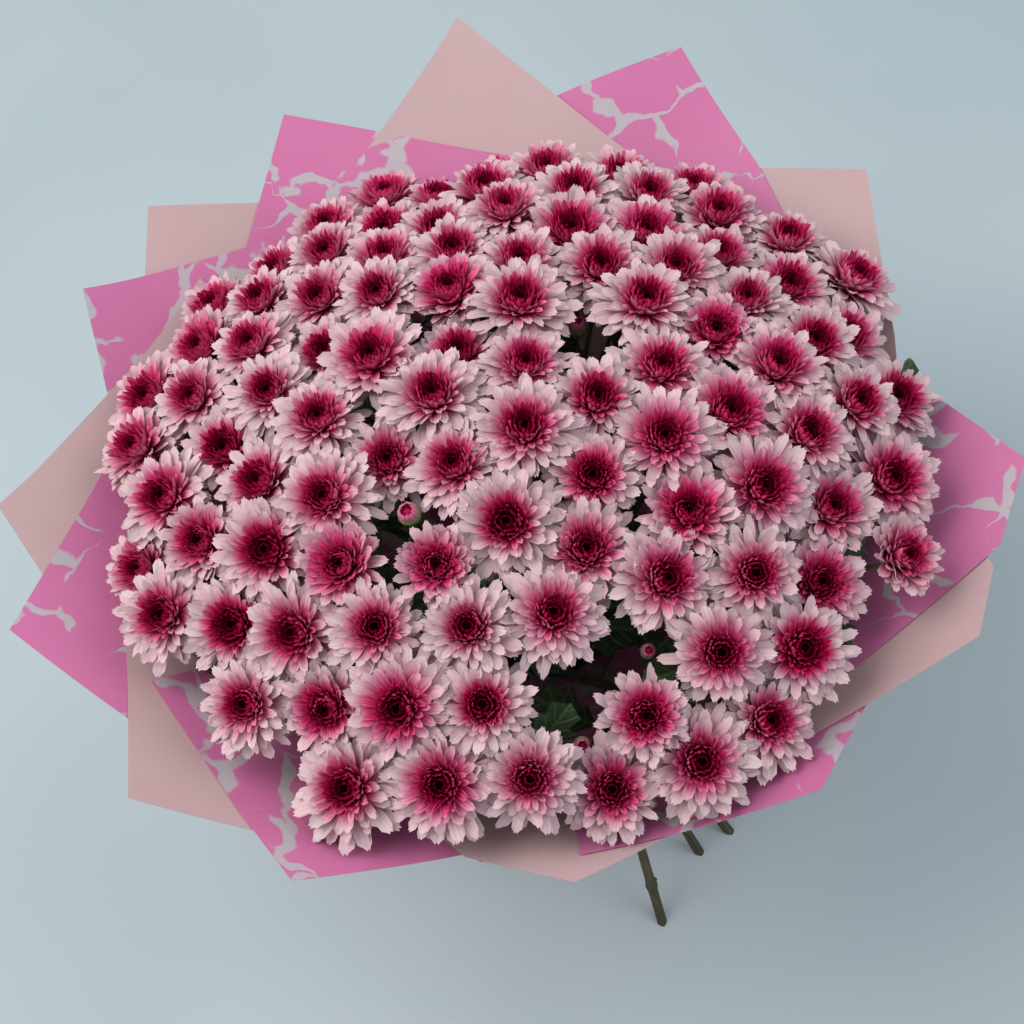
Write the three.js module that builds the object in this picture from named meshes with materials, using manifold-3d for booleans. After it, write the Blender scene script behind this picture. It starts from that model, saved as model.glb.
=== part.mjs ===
// A hand-tied bouquet of spray chrysanthemums in its paper wrap, standing on its splayed cut stems.
// Millimetres, +Z up. The bunch is built about the upright line through its tie, and the group is
// then shifted so that the origin is at the bottom centre of the whole bouquet's box.
import * as THREE from "three";
import { mergeVertices } from "three/addons/utils/BufferGeometryUtils.js";
import Module from "manifold-3d";

const wasm = await Module();
wasm.setup();

// Driving dimensions of the dome of blooms. The heads face outwards, shaken by the lean, and turn
// from there a little to the front and up, as towards the light.
const DOME_CENTRE_HEIGHT = 75;
const DOME_RADIUS = 370;
const DOME_EDGE = degrees(38.5);
const BLOOM_COUNT = 100;
const BLOOM_RADIUS = 31;
const BLOOM_RADIUS_SPREAD = 3;
const BLOOM_SUNK_MOST = 16;
const BLOOM_SUNK_POWER = 1.6;
const BLOOM_LEAN = 0.4;
const BLOOM_TURN_FRONT = 0.32;
const BLOOM_TURN_UP = 0.65;
const BLOOM_SPACING = 46;
const BLOOM_GAP = 0.4;
const BLOOM_TO_PAPER = 5;
const NEIGHBOUR_REACH = 3 * BLOOM_RADIUS;

// How the blooms are placed: the seed of every draw, how far the even spiral is shaken (in
// radians), and how it is eased apart round by round.
const PLACING_SEED = 4127;
const SHAKE = 0.07;
const EASING_ROUNDS = 12;
const NEIGHBOUR_PUSH = 0.4;
const OPENING_PUSH = 0.8;

// Openings in the dome where the dark foliage shows: angle from the top, bearing, and radius.
const OPENINGS = [
  [10, 35, 38],
  [16, -131, 40],
  [30, -90, 44],
  [28, -75, 40],
  [20, -165, 30],
];

// One bloom: its rings of petals, from the outside in. Radii are shares of the bloom's radius and
// heights are above the foot of the green cup that holds the petals.
const PETALS_IN_RING = 7;
const RINGS = [
  { tip: 1.0, tipHeight: 14, root: 0.74, rootHeight: 13.5 },
  { tip: 0.82, tipHeight: 21, root: 0.5, rootHeight: 20 },
  { tip: 0.46, tipHeight: 27, root: 0.28, rootHeight: 25 },
];
const HEART_HEIGHT = 13;
const BOWL_FLOOR_HEIGHT = 17.5;
const JOINING_PETAL_DEPTH = 6;

// Stems: rings of sprays from the middle outwards, each stem a straight cut stalk that leans
// through the tie, so that the bunch is a spiral that stands by itself.
const TIE_HEIGHT = 150;
const SPRAY_RINGS = [
  { count: 3, fromTop: degrees(9.5), bearing: degrees(40), waist: 4.4, foot: 38 },
  { count: 7, fromTop: degrees(21), bearing: degrees(12), waist: 11.4, foot: 88 },
  { count: 11, fromTop: degrees(32.8), bearing: degrees(90), waist: 18.8, foot: 148 },
];

// Sprays whose cut ends stand nearer or further out than the rest of their ring, by number.
const OWN_FOOT = new Map([
  [5, 70],
  [6, 122],
  [12, 130],
  [20, 104],
  [21, 92],
]);

// The stalks fork below the dome and thin from the foot to the tips of their branches.
const FORK_RADIUS = 263;
const BRANCH_DROP = 13;
const STALK_FOOT_RADIUS = 3.4;
const STALK_TIE_RADIUS = 3;
const STALK_FORK_RADIUS = 2.5;
const STALK_SIDES = 5;
const BRANCH_ROOT_RADIUS = 1.5;
const BRANCH_TIP_RADIUS = 1.3;
const BRANCH_SIDES = 3;
const CUP_CLEARANCE = 1.0;

// Leaves: half outline as shares of length and half width, with the notches between the lobes.
const LEAF_LENGTH = 46;
const LEAF_HALF_WIDTH = 15;
const LEAF_THICKNESS = 1.8;
const LEAF_HALF_OUTLINE = [
  [0.3, 0.8],
  [0.45, 0.45],
  [0.7, 1.0],
];
const LEAF_THICKEST_AT = 0.45;
const LEAVES_ON_SPRAY = 2;
const LEAF_DROP = 42;
const LEAF_LEAN = degrees(34);
const LEAF_GAP = 1;
const LEAF_LEAST = 0.5;
const LEAF_TO_PAPER = 6;
const DRAW_IN_STEP = 0.96;

// Paper: one flared profile about the upright line, as radius and height from the hem of the
// skirt, through the neck at the tie, to the far edge. Each sheet follows it at its own depth.
const PAPER_PROFILE = [
  [68, 98],
  [29, 140],
  [29, 160],
  [200, 318],
  [380, 400],
];
const PAPER_THICKNESS = 0.8;
const PAPER_STEP = 0.62;
const FACET = degrees(360 / 28);
const SHEET_TURN = degrees(360 / 14);
const FIRST_SHEET_BEARING = degrees(100);
const LEAST_COLUMN_TURN = 0.2;
const LAST_SHEET_DEPTH = 4.6 * PAPER_STEP;

// The sheets in the order in which they overlap, the innermost first. The upper edge of each is
// a list of corners: bearing in degrees and reach from the upright line.
const SHEETS = [
  { colour: "pink", corners: [[134, 240], [109, 336], [68, 251]] },
  { colour: "pale", corners: [[108, 272], [87, 351], [44, 241]] },
  { colour: "pink", corners: [[82, 286], [62, 342], [47, 278], [16, 225]] },
  { colour: "pale", corners: [[55, 268], [34, 304], [12, 244], [-10, 225]] },
  { colour: "pink", corners: [[26, 228], [-14, 288], [-25, 277], [-60, 220]] },
  { colour: "pale", corners: [[2, 238], [-28, 276], [-38, 282], [-66, 234]] },
  { colour: "pink", corners: [[-24, 247], [-64, 271], [-92, 248]] },
  { colour: "pale", corners: [[-50, 232], [-78, 246], [-93, 266], [-106, 245], [-116, 218]] },
  { colour: "pink", corners: [[-76, 229], [-123, 286], [-134, 262], [-158, 245]] },
  { colour: "pale", corners: [[-102, 232], [-120, 255], [-143, 296], [-176, 243]] },
  { colour: "pink", corners: [[-128, 258], [-170, 306], [-206, 250]] },
  { colour: "pale", corners: [[-154, 262], [-186, 308], [-191, 292], [-228, 267]] },
  { colour: "pink", corners: [[-178, 229], [-217, 313], [-254, 254]] },
  { colour: "pale", corners: [[-202, 249], [-231, 326], [-266, 258]] },
];

// The tape round the stems and the ribbon round the neck of the paper.
const TAPE_INNER_RADIUS = 23.4;
const TAPE_OUTER_RADIUS = 25.4;
const TAPE_HEIGHT = 12;
const RIBBON_INNER_RADIUS = 33.8;
const RIBBON_THICKNESS = 1.2;
const RIBBON_HEIGHT = 16;
const RIBBON_BEARING = degrees(-64.3);
const RIBBON_SUNK = 0.6;
const KNOT_DEPTH = 6;
const KNOT_HALF_WIDTH = 7;
const TAIL_LENGTH = 62;
const TAIL_WIDTH = 13;
const TAIL_SLANT = 6;
const TAIL_SPLAY = degrees(17);
const RING_SIDES = 18;

const petalPink = material(0xe9bccb, 0.75);
const stemGreen = material(0x4c5a30, 0.8);
const hotPinkPaper = material(0xd873b0, 0.6);
const palePaper = material(0xd6aeb2, 0.65);
const tapeGreen = material(0x3f5a3a, 0.7);
const ribbonPink = material(0xe6b9c4, 0.4);

function degrees(angle) {
  return (angle * Math.PI) / 180;
}

function material(color, roughness) {
  return new THREE.MeshStandardMaterial({ color, roughness, metalness: 0 });
}

// A seeded draw between 0 and 1, the same on every run.
function seededDraw(seed) {
  let state = seed;
  return () => {
    state = (state * 16807) % 2147483647;
    return state / 2147483647;
  };
}

// A closed body from its corners and its triangles.
function solidFrom(points, faces) {
  const vertProperties = new Float32Array(points.flatMap((p) => [p.x, p.y, p.z]));
  const triVerts = new Uint32Array(faces.flat());
  return new wasm.Manifold(new wasm.Mesh({ numProp: 3, vertProperties, triVerts }));
}

function meshFrom(name, solid, finish) {
  const { vertProperties, triVerts } = solid.getMesh();
  const geometry = new THREE.BufferGeometry();
  geometry.setAttribute("position", new THREE.BufferAttribute(vertProperties, 3));
  geometry.setIndex(new THREE.BufferAttribute(triVerts, 1));
  geometry.computeVertexNormals();
  const mesh = new THREE.Mesh(geometry, finish);
  mesh.name = name;
  return mesh;
}

// A unit direction, from its angle to the top and its bearing about the upright line.
function direction(fromTop, bearing) {
  const level = Math.sin(fromTop);
  return new THREE.Vector3(level * Math.cos(bearing), level * Math.sin(bearing), Math.cos(fromTop));
}

const domeCentre = new THREE.Vector3(0, 0, DOME_CENTRE_HEIGHT);

// Places the blooms on the dome: an even spiral, shaken, pushed out of the openings, and then
// eased apart until neighbours are about one spacing away from each other.
function placeBlooms() {
  const draw = seededDraw(PLACING_SEED);
  const goldenTurn = Math.PI * (3 - Math.sqrt(5));
  const outwards = [];
  for (let i = 0; i < BLOOM_COUNT; i++) {
    const share = (i + 0.5) / BLOOM_COUNT;
    const fromTop = Math.acos(1 - (1 - Math.cos(DOME_EDGE)) * share);
    const shaken = fromTop + (draw() - 0.5) * SHAKE;
    const bearing = i * goldenTurn + ((draw() - 0.5) * SHAKE) / Math.sin(fromTop);
    outwards.push(direction(Math.min(shaken, DOME_EDGE), bearing));
  }
  const openings = OPENINGS.map(([fromTop, bearing, radius]) => ({
    middle: direction(degrees(fromTop), degrees(bearing)),
    radius: radius / DOME_RADIUS,
  }));
  const spacing = BLOOM_SPACING / DOME_RADIUS;
  for (let round = 0; round < EASING_ROUNDS; round++) {
    const pushes = outwards.map((place, i) => {
      const push = new THREE.Vector3();
      outwards.forEach((other, j) => {
        const away = place.clone().sub(other);
        const near = away.length();
        if (j === i || near >= spacing) return;
        push.addScaledVector(away, (NEIGHBOUR_PUSH * (spacing - near)) / near);
      });
      for (const { middle, radius } of openings) {
        const away = place.clone().sub(middle);
        const near = away.length();
        if (near < radius) push.addScaledVector(away, (OPENING_PUSH * (radius - near)) / near);
      }
      return push;
    });
    outwards.forEach((place, i) => {
      place.add(pushes[i]).normalize();
      const fromTop = Math.acos(place.z);
      if (fromTop > DOME_EDGE) place.copy(direction(DOME_EDGE, Math.atan2(place.y, place.x)));
    });
  }
  return outwards.map((outward) => {
    const sunk = BLOOM_SUNK_MOST * draw() ** BLOOM_SUNK_POWER;
    const radius = BLOOM_RADIUS + (draw() * 2 - 1) * BLOOM_RADIUS_SPREAD;
    const lean = new THREE.Vector3(draw() - 0.5, draw() - 0.5, draw() - 0.5);
    const axis = outward.clone().addScaledVector(lean, BLOOM_LEAN);
    axis.y -= BLOOM_TURN_FRONT;
    axis.z += BLOOM_TURN_UP;
    axis.normalize();
    const turn = draw() * 2 * Math.PI;
    const heart = domeCentre.clone().addScaledVector(outward, DOME_RADIUS - sunk);
    return { outward, axis, radius, turn, heart };
  });
}

// The sprays: one direction each, in rings of equal shares of the dome.
function placeSprays() {
  const sprays = [];
  for (const ring of SPRAY_RINGS) {
    for (let i = 0; i < ring.count; i++) {
      const bearing = ring.bearing + (i * 2 * Math.PI) / ring.count;
      const foot = OWN_FOOT.get(sprays.length + 1) ?? ring.foot;
      sprays.push({ ring, foot, bearing, axis: direction(ring.fromTop, bearing), blooms: [] });
    }
  }
  return sprays;
}

// Each bloom grows on the spray whose direction is nearest to it.
function shareBlooms(blooms, sprays) {
  for (const bloom of blooms) {
    let nearest = sprays[0];
    for (const spray of sprays) {
      if (bloom.outward.dot(spray.axis) > bloom.outward.dot(nearest.axis)) nearest = spray;
    }
    nearest.blooms.push(bloom);
  }
}

// Ties the blooms of a spray into one chain of neighbours, each to the nearest one already in it.
function chainBlooms(spray) {
  const waiting = spray.blooms.slice(1);
  const chained = spray.blooms.slice(0, 1);
  while (waiting.length) {
    let best = null;
    for (const bloom of waiting) {
      for (const parent of chained) {
        const length = bloom.heart.distanceTo(parent.heart);
        if (!best || length < best.length) best = { bloom, parent, length };
      }
    }
    best.bloom.parent = best.parent;
    chained.push(best.bloom);
    waiting.splice(waiting.indexOf(best.bloom), 1);
  }
}

// Draws a corner of a bloom in towards its heart where it would reach into a neighbour's space.
function keepInOwnSpace(corner, bloom, blooms) {
  const reach = corner.clone().sub(bloom.heart);
  let share = 1;
  for (const other of blooms) {
    if (other === bloom) continue;
    const apart = other.heart.clone().sub(bloom.heart);
    const distance = apart.length();
    if (distance > NEIGHBOUR_REACH) continue;
    const along = reach.dot(apart) / distance;
    const room = distance / 2 - BLOOM_GAP / 2;
    if (along > room) share = Math.min(share, room / along);
  }
  return keepAbovePaper(bloom.heart, reach, share, BLOOM_TO_PAPER);
}

// The place at a share of a reach from its root, drawn in until it is clear of the paper.
function keepAbovePaper(root, reach, share, clearance) {
  const place = root.clone().addScaledVector(reach, share);
  while (aboveCone(place) < clearance) {
    share *= DRAW_IN_STEP;
    place.copy(root).addScaledVector(reach, share);
  }
  return place;
}

// How far a place is above the upper cone of the paper, measured straight up.
function aboveCone(place) {
  const [[r0, z0], [r1, z1], [r2, z2]] = PAPER_PROFILE.slice(2);
  const radius = Math.hypot(place.x, place.y);
  const lower = z0 + ((z1 - z0) * (radius - r0)) / (r1 - r0);
  const upper = z1 + ((z2 - z1) * (radius - r1)) / (r2 - r1);
  return place.z - (radius < r1 ? lower : upper);
}

// One bloom: rings of pointed petals round a bowl, closed below by the green cup. The first petal
// of a bloom that has a parent reaches into the parent, so that the spray is one body.
function bloomSolid(bloom, blooms) {
  const towards = bloom.parent
    ? bloom.parent.heart.clone().sub(bloom.heart)
    : new THREE.Vector3(Math.cos(bloom.turn), Math.sin(bloom.turn), 0.3);
  const forward = towards.addScaledVector(bloom.axis, -towards.dot(bloom.axis)).normalize();
  const sideways = bloom.axis.clone().cross(forward);
  const corner = (radius, height, angle) => {
    const place = bloom.heart.clone().addScaledVector(bloom.axis, height - HEART_HEIGHT);
    place.addScaledVector(forward, radius * Math.cos(angle));
    place.addScaledVector(sideways, radius * Math.sin(angle));
    return keepInOwnSpace(place, bloom, blooms);
  };
  const points = [corner(0, 0, 0)];
  const faces = [];
  const aroundCount = PETALS_IN_RING * 2;
  const halfStep = Math.PI / PETALS_IN_RING;
  RINGS.forEach((ring, level) => {
    for (let k = 0; k < aroundCount; k++) {
      const isTip = (k + level) % 2 === 0;
      const share = isTip ? ring.tip : ring.root;
      const height = isTip ? ring.tipHeight : ring.rootHeight;
      points.push(corner(share * bloom.radius, height, k * halfStep));
    }
  });
  if (bloom.parent) {
    const inward = bloom.heart.clone().sub(bloom.parent.heart).setLength(JOINING_PETAL_DEPTH);
    points[1] = bloom.parent.heart.clone().add(inward);
  }
  for (let k = 0; k < aroundCount; k++) {
    faces.push([0, 1 + ((k + 1) % aroundCount), 1 + k]);
  }
  for (let level = 0; level < RINGS.length - 1; level++) {
    const low = 1 + level * aroundCount;
    const high = low + aroundCount;
    for (let k = 0; k < aroundCount; k++) {
      const next = (k + 1) % aroundCount;
      const startsAtTip = (k + level) % 2 === 0;
      if (startsAtTip) {
        faces.push([low + k, low + next, high + k], [low + next, high + next, high + k]);
      } else {
        faces.push([low + k, low + next, high + next], [low + k, high + next, high + k]);
      }
    }
  }
  const top = points.length;
  const last = top - aroundCount;
  points.push(corner(0, BOWL_FLOOR_HEIGHT, 0));
  for (let k = 0; k < aroundCount; k++) {
    faces.push([last + k, last + ((k + 1) % aroundCount), top]);
  }
  return solidFrom(points, faces);
}

// A stalk through the given places, thinning from one to the next, with flat ends. A stalk that
// stands on the ground has its foot cut level.
function stalkSolid(places, radii, sides, cutLevel) {
  const points = [];
  const faces = [];
  const tangents = places.map((place, i) => {
    const before = places[Math.max(i - 1, 0)];
    const after = places[Math.min(i + 1, places.length - 1)];
    return after.clone().sub(before).normalize();
  });
  const reference = new THREE.Vector3(0.31, -0.2, 0.93);
  places.forEach((place, i) => {
    const side = reference.clone().cross(tangents[i]).normalize();
    const other = tangents[i].clone().cross(side);
    for (let k = 0; k < sides; k++) {
      const angle = (k * 2 * Math.PI) / sides;
      const corner = place.clone();
      corner.addScaledVector(side, radii[i] * Math.cos(angle));
      corner.addScaledVector(other, radii[i] * Math.sin(angle));
      if (i === 0 && cutLevel) corner.addScaledVector(tangents[0], -corner.z / tangents[0].z);
      points.push(corner);
    }
  });
  for (let k = 1; k < sides - 1; k++) {
    const end = (places.length - 1) * sides;
    faces.push([0, k + 1, k], [end, end + k, end + k + 1]);
  }
  for (let i = 0; i < places.length - 1; i++) {
    for (let k = 0; k < sides; k++) {
      const low = i * sides + k;
      const lowNext = i * sides + ((k + 1) % sides);
      faces.push([low, lowNext, low + sides], [lowNext, lowNext + sides, low + sides]);
    }
  }
  return solidFrom(points, faces);
}

// A lobed leaf that grows from a branch: a thin blade, thickest along its midrib.
function leafSolid(root, along, across, keep) {
  const outline = [[0, 0]];
  for (const [length, width] of LEAF_HALF_OUTLINE) outline.push([length, width]);
  outline.push([1, 0]);
  for (const [length, width] of [...LEAF_HALF_OUTLINE].reverse()) outline.push([length, -width]);
  const points = outline.map(([length, width]) =>
    keep(
      root
        .clone()
        .addScaledVector(along, length * LEAF_LENGTH)
        .addScaledVector(across, width * LEAF_HALF_WIDTH),
    ),
  );
  const face = across.clone().cross(along);
  const tip = points[LEAF_HALF_OUTLINE.length + 1];
  const middle = root.clone().lerp(tip, LEAF_THICKEST_AT);
  const upper = points.length;
  points.push(middle.clone().addScaledVector(face, LEAF_THICKNESS / 2));
  points.push(middle.clone().addScaledVector(face, -LEAF_THICKNESS / 2));
  const faces = [];
  for (let k = 0; k < upper; k++) {
    const next = (k + 1) % upper;
    faces.push([k, next, upper], [next, k, upper + 1]);
  }
  return solidFrom(points, faces);
}

// The green part of a spray: its stalk from the cut foot to the fork, a branch to each bloom, and
// lobed leaves on some of the branches.
function stemSolid(spray, blooms) {
  const { ring, axis, foot: footReach } = spray;
  const fork = domeCentre.clone().addScaledVector(axis, FORK_RADIUS);
  const forkReach = Math.hypot(fork.x, fork.y);
  const waistBearing = spray.bearing - Math.acos(ring.waist / forkReach);
  const waist = new THREE.Vector3(
    ring.waist * Math.cos(waistBearing),
    ring.waist * Math.sin(waistBearing),
    TIE_HEIGHT,
  );
  const footRun = Math.sqrt(footReach ** 2 - ring.waist ** 2);
  const foot = new THREE.Vector3(
    waist.x + footRun * Math.sin(waistBearing),
    waist.y - footRun * Math.cos(waistBearing),
    0,
  );
  const strangers = blooms.filter((bloom) => !spray.blooms.includes(bloom));
  const nearestFirst = [...spray.blooms].sort(
    (a, b) => b.outward.dot(axis) - a.outward.dot(axis),
  );
  const cups = nearestFirst.map(({ heart, axis: facing }) =>
    heart.clone().addScaledVector(facing, -HEART_HEIGHT - CUP_CLEARANCE),
  );
  const radii = [STALK_FOOT_RADIUS, STALK_TIE_RADIUS, STALK_FORK_RADIUS, BRANCH_TIP_RADIUS];
  let solid = stalkSolid([foot, waist, fork, cups[0]], radii, STALK_SIDES, true);
  const stalkWay = waist.clone().sub(fork).normalize();
  nearestFirst.forEach((bloom, i) => {
    const cup = cups[i];
    const bottom = fork.clone().addScaledVector(stalkWay, i * BRANCH_DROP);
    if (i > 0) {
      const branchRadii = [BRANCH_ROOT_RADIUS, BRANCH_TIP_RADIUS];
      solid = solid.add(stalkSolid([bottom, cup], branchRadii, BRANCH_SIDES, false));
    }
    if (i < spray.blooms.length - LEAVES_ON_SPRAY) return;
    const branchWay = cup.clone().sub(bottom).normalize();
    const root = cup.clone().addScaledVector(branchWay, -LEAF_DROP);
    const across = bloom.axis.clone().cross(axis).normalize();
    const along = branchWay.clone().applyAxisAngle(across, -LEAF_LEAN);
    const keep = (corner) => keepBelowBlooms(corner, root, bloom, strangers);
    solid = solid.add(leafSolid(root, along, across, keep));
  });
  return solid;
}

// Draws a corner of a leaf in towards its root where it would get under the blooms of another spray.
function keepBelowBlooms(corner, root, bloom, strangers) {
  const reach = corner.clone().sub(root);
  let share = 1;
  for (const other of strangers) {
    const apart = other.outward.clone().sub(bloom.outward);
    const distance = apart.length();
    if (distance * DOME_RADIUS > NEIGHBOUR_REACH) continue;
    apart.divideScalar(distance);
    const middle = bloom.outward.clone().add(other.outward).normalize();
    const wall = domeCentre.clone().addScaledVector(middle, DOME_RADIUS);
    const room = Math.max(wall.clone().sub(root).dot(apart) - LEAF_GAP, LEAF_LEAST);
    const rise = reach.dot(apart);
    if (rise > room) share = Math.min(share, room / rise);
  }
  return keepAbovePaper(root, reach, share, LEAF_TO_PAPER);
}

// The paper's profile moved outwards by a depth, with its corners mitred.
function profileAt(depth) {
  const normals = [];
  for (let i = 0; i < PAPER_PROFILE.length - 1; i++) {
    const [r0, z0] = PAPER_PROFILE[i];
    const [r1, z1] = PAPER_PROFILE[i + 1];
    const length = Math.hypot(r1 - r0, z1 - z0);
    normals.push([(z1 - z0) / length, -(r1 - r0) / length]);
  }
  return PAPER_PROFILE.map(([radius, height], i) => {
    const before = normals[Math.max(i - 1, 0)];
    const after = normals[Math.min(i, normals.length - 1)];
    const sum = [before[0] + after[0], before[1] + after[1]];
    const square = (sum[0] * sum[0] + sum[1] * sum[1]) / 2;
    return [radius + (depth * sum[0]) / square, height + (depth * sum[1]) / square];
  });
}

// How far the straight edges between a sheet's corners reach at a bearing, in plan.
function reachAt(corners, bearing) {
  for (let i = 0; i < corners.length - 1; i++) {
    const [startBearing, startReach] = corners[i];
    const [endBearing, endReach] = corners[i + 1];
    if (bearing > startBearing + 1e-6 || bearing < endBearing - 1e-6) continue;
    const start = degrees(startBearing - bearing);
    const end = degrees(endBearing - bearing);
    const cross = startReach * Math.sin(start) - endReach * Math.sin(end);
    return (startReach * endReach * Math.sin(start - end)) / cross;
  }
  throw new Error("no edge of the sheet at bearing " + bearing);
}

// One sheet: columns of points from the hem to the upper edge, at the shared facet bearings and
// at the sheet's own corners, on its inner and on its outer face.
function sheetSolid(sheet, order) {
  const { corners } = sheet;
  const facet = THREE.MathUtils.radToDeg(FACET);
  const first = corners[0][0];
  const last = corners[corners.length - 1][0];
  const bearings = corners.map(([bearing]) => bearing);
  for (let k = Math.ceil(last / facet); k * facet < first; k++) {
    const fold = k * facet;
    if (bearings.every((bearing) => Math.abs(bearing - fold) > LEAST_COLUMN_TURN)) bearings.push(fold);
  }
  bearings.sort((a, b) => b - a);
  const middle = THREE.MathUtils.radToDeg(FIRST_SHEET_BEARING - order * SHEET_TURN);
  const isLast = order === SHEETS.length - 1;
  const points = [];
  const rows = PAPER_PROFILE.length;
  const face = (thickness) => {
    for (const bearing of bearings) {
      const depth = isLast ? LAST_SHEET_DEPTH : (PAPER_STEP * (bearing - middle)) / facet;
      const profile = profileAt(depth + thickness);
      const [lowRadius, lowHeight] = profile[rows - 2];
      const [highRadius, highHeight] = profile[rows - 1];
      const slope = (highHeight - lowHeight) / (highRadius - lowRadius);
      const edge = reachAt(corners, bearing) + thickness * Math.sin(Math.atan(slope));
      const column = profile.slice(0, -1);
      column.push([edge, lowHeight + slope * (edge - lowRadius)]);
      const inFacet = bearing / facet - Math.floor(bearing / facet) - 0.5;
      const chord = Math.cos(FACET / 2) / Math.cos(inFacet * FACET);
      for (const [radius, height] of column) {
        const flat = radius * chord;
        const angle = degrees(bearing);
        points.push(new THREE.Vector3(flat * Math.cos(angle), flat * Math.sin(angle), height));
      }
    }
  };
  face(0);
  face(PAPER_THICKNESS);
  const columns = bearings.length;
  const outer = columns * rows;
  const faces = [];
  for (let c = 0; c < columns - 1; c++) {
    for (let r = 0; r < rows - 1; r++) {
      const a = c * rows + r;
      const b = a + rows;
      faces.push([a, b + 1, a + 1], [a, b, b + 1]);
      faces.push([outer + a, outer + a + 1, outer + b + 1], [outer + a, outer + b + 1, outer + b]);
    }
    const hem = c * rows;
    const edge = hem + rows - 1;
    faces.push([hem, outer + hem + rows, hem + rows], [hem, outer + hem, outer + hem + rows]);
    faces.push([edge, edge + rows, outer + edge + rows], [edge, outer + edge + rows, outer + edge]);
  }
  for (let r = 0; r < rows - 1; r++) {
    const end = (columns - 1) * rows + r;
    faces.push([r, r + 1, outer + r + 1], [r, outer + r + 1, outer + r]);
    faces.push([end, outer + end + 1, end + 1], [end, outer + end, outer + end + 1]);
  }
  return solidFrom(points, faces);
}

// A band round the upright line, centred on the height of the tie.
function bandSolid(innerRadius, outerRadius, height) {
  const points = [];
  const faces = [];
  for (let k = 0; k < RING_SIDES; k++) {
    const angle = (k * 2 * Math.PI) / RING_SIDES;
    for (const [radius, rise] of [
      [innerRadius, -0.5],
      [outerRadius, -0.5],
      [outerRadius, 0.5],
      [innerRadius, 0.5],
    ]) {
      const level = TIE_HEIGHT + rise * height;
      points.push(new THREE.Vector3(radius * Math.cos(angle), radius * Math.sin(angle), level));
    }
    const next = (k + 1) % RING_SIDES;
    for (let c = 0; c < 4; c++) {
      const a = k * 4 + c;
      const b = k * 4 + ((c + 1) % 4);
      const a2 = next * 4 + c;
      const b2 = next * 4 + ((c + 1) % 4);
      faces.push([a, a2, b2], [a, b2, b]);
    }
  }
  return solidFrom(points, faces);
}

// A flat piece of ribbon on the front of the knot: its outline runs down the slope of the skirt
// and to both sides, and it stands off the paper by its reach.
function ribbonPiece(outline, depth, start, slope, turn) {
  const shape = new THREE.Shape(outline.map(([down, side]) => new THREE.Vector2(down, side)));
  const geometry = new THREE.ExtrudeGeometry(shape, { depth, bevelEnabled: false });
  const down = new THREE.Vector3(Math.cos(slope), 0, -Math.sin(slope));
  const side = new THREE.Vector3(0, 1, 0);
  const outward = down.clone().cross(side);
  geometry.rotateZ(turn);
  geometry.applyMatrix4(new THREE.Matrix4().makeBasis(down, side, outward));
  geometry.translate(start[0], 0, start[1]);
  geometry.rotateZ(RIBBON_BEARING);
  return solidFromGeometry(geometry);
}

function solidFromGeometry(geometry) {
  const bare = new THREE.BufferGeometry();
  bare.setAttribute("position", geometry.getAttribute("position"));
  const merged = mergeVertices(bare, 1e-3);
  const vertProperties = new Float32Array(merged.getAttribute("position").array);
  const triVerts = new Uint32Array(merged.index.array);
  return new wasm.Manifold(new wasm.Mesh({ numProp: 3, vertProperties, triVerts }));
}

// The ribbon: a band round the paper's neck, a knot in front, and two tails cut at a slant that
// lie down along the skirt of the paper.
function ribbonSolid() {
  const outer = RIBBON_INNER_RADIUS + RIBBON_THICKNESS;
  const half = RIBBON_HEIGHT / 2;
  const knot = [
    [-half, -KNOT_HALF_WIDTH],
    [half, -KNOT_HALF_WIDTH],
    [half, KNOT_HALF_WIDTH],
    [-half, KNOT_HALF_WIDTH],
  ];
  const knotStart = [RIBBON_INNER_RADIUS, TIE_HEIGHT];
  let solid = bandSolid(RIBBON_INNER_RADIUS, outer, RIBBON_HEIGHT);
  solid = solid.add(ribbonPiece(knot, KNOT_DEPTH, knotStart, degrees(90), 0));
  const [[hemRadius, hemHeight], [neckRadius, neckHeight]] = PAPER_PROFILE;
  const slope = Math.atan2(neckHeight - hemHeight, hemRadius - neckRadius);
  for (const side of [-1, 1]) {
    const tail = [
      [0, -TAIL_WIDTH / 2],
      [TAIL_LENGTH, -TAIL_WIDTH / 2],
      [TAIL_LENGTH - side * TAIL_SLANT, TAIL_WIDTH / 2],
      [0, TAIL_WIDTH / 2],
    ];
    const start = [outer + RIBBON_SUNK, TIE_HEIGHT - RIBBON_SUNK];
    solid = solid.add(ribbonPiece(tail, RIBBON_THICKNESS, start, slope, side * TAIL_SPLAY));
  }
  return solid;
}

const blooms = placeBlooms();
const sprays = placeSprays();
shareBlooms(blooms, sprays);

const bouquet = new THREE.Group();
sprays.forEach((spray, i) => {
  chainBlooms(spray);
  const label = "spray_" + String(i + 1).padStart(2, "0");
  let flowers = null;
  for (const bloom of spray.blooms) {
    const solid = bloomSolid(bloom, blooms);
    flowers = flowers ? flowers.add(solid) : solid;
  }
  bouquet.add(meshFrom(label + "_blooms", flowers, petalPink));
  bouquet.add(meshFrom(label + "_stem", stemSolid(spray, blooms), stemGreen));
});
SHEETS.forEach((sheet, order) => {
  const finish = sheet.colour === "pink" ? hotPinkPaper : palePaper;
  const name = "paper_" + String(order + 1).padStart(2, "0") + "_" + sheet.colour;
  bouquet.add(meshFrom(name, sheetSolid(sheet, order), finish));
});
const tape = bandSolid(TAPE_INNER_RADIUS, TAPE_OUTER_RADIUS, TAPE_HEIGHT);
bouquet.add(meshFrom("stem_tie", tape, tapeGreen));
bouquet.add(meshFrom("ribbon", ribbonSolid(), ribbonPink));

const box = new THREE.Box3().setFromObject(bouquet);
const middle = box.getCenter(new THREE.Vector3());
bouquet.position.set(-middle.x, -middle.y, -box.min.z);

export default bouquet;
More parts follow.
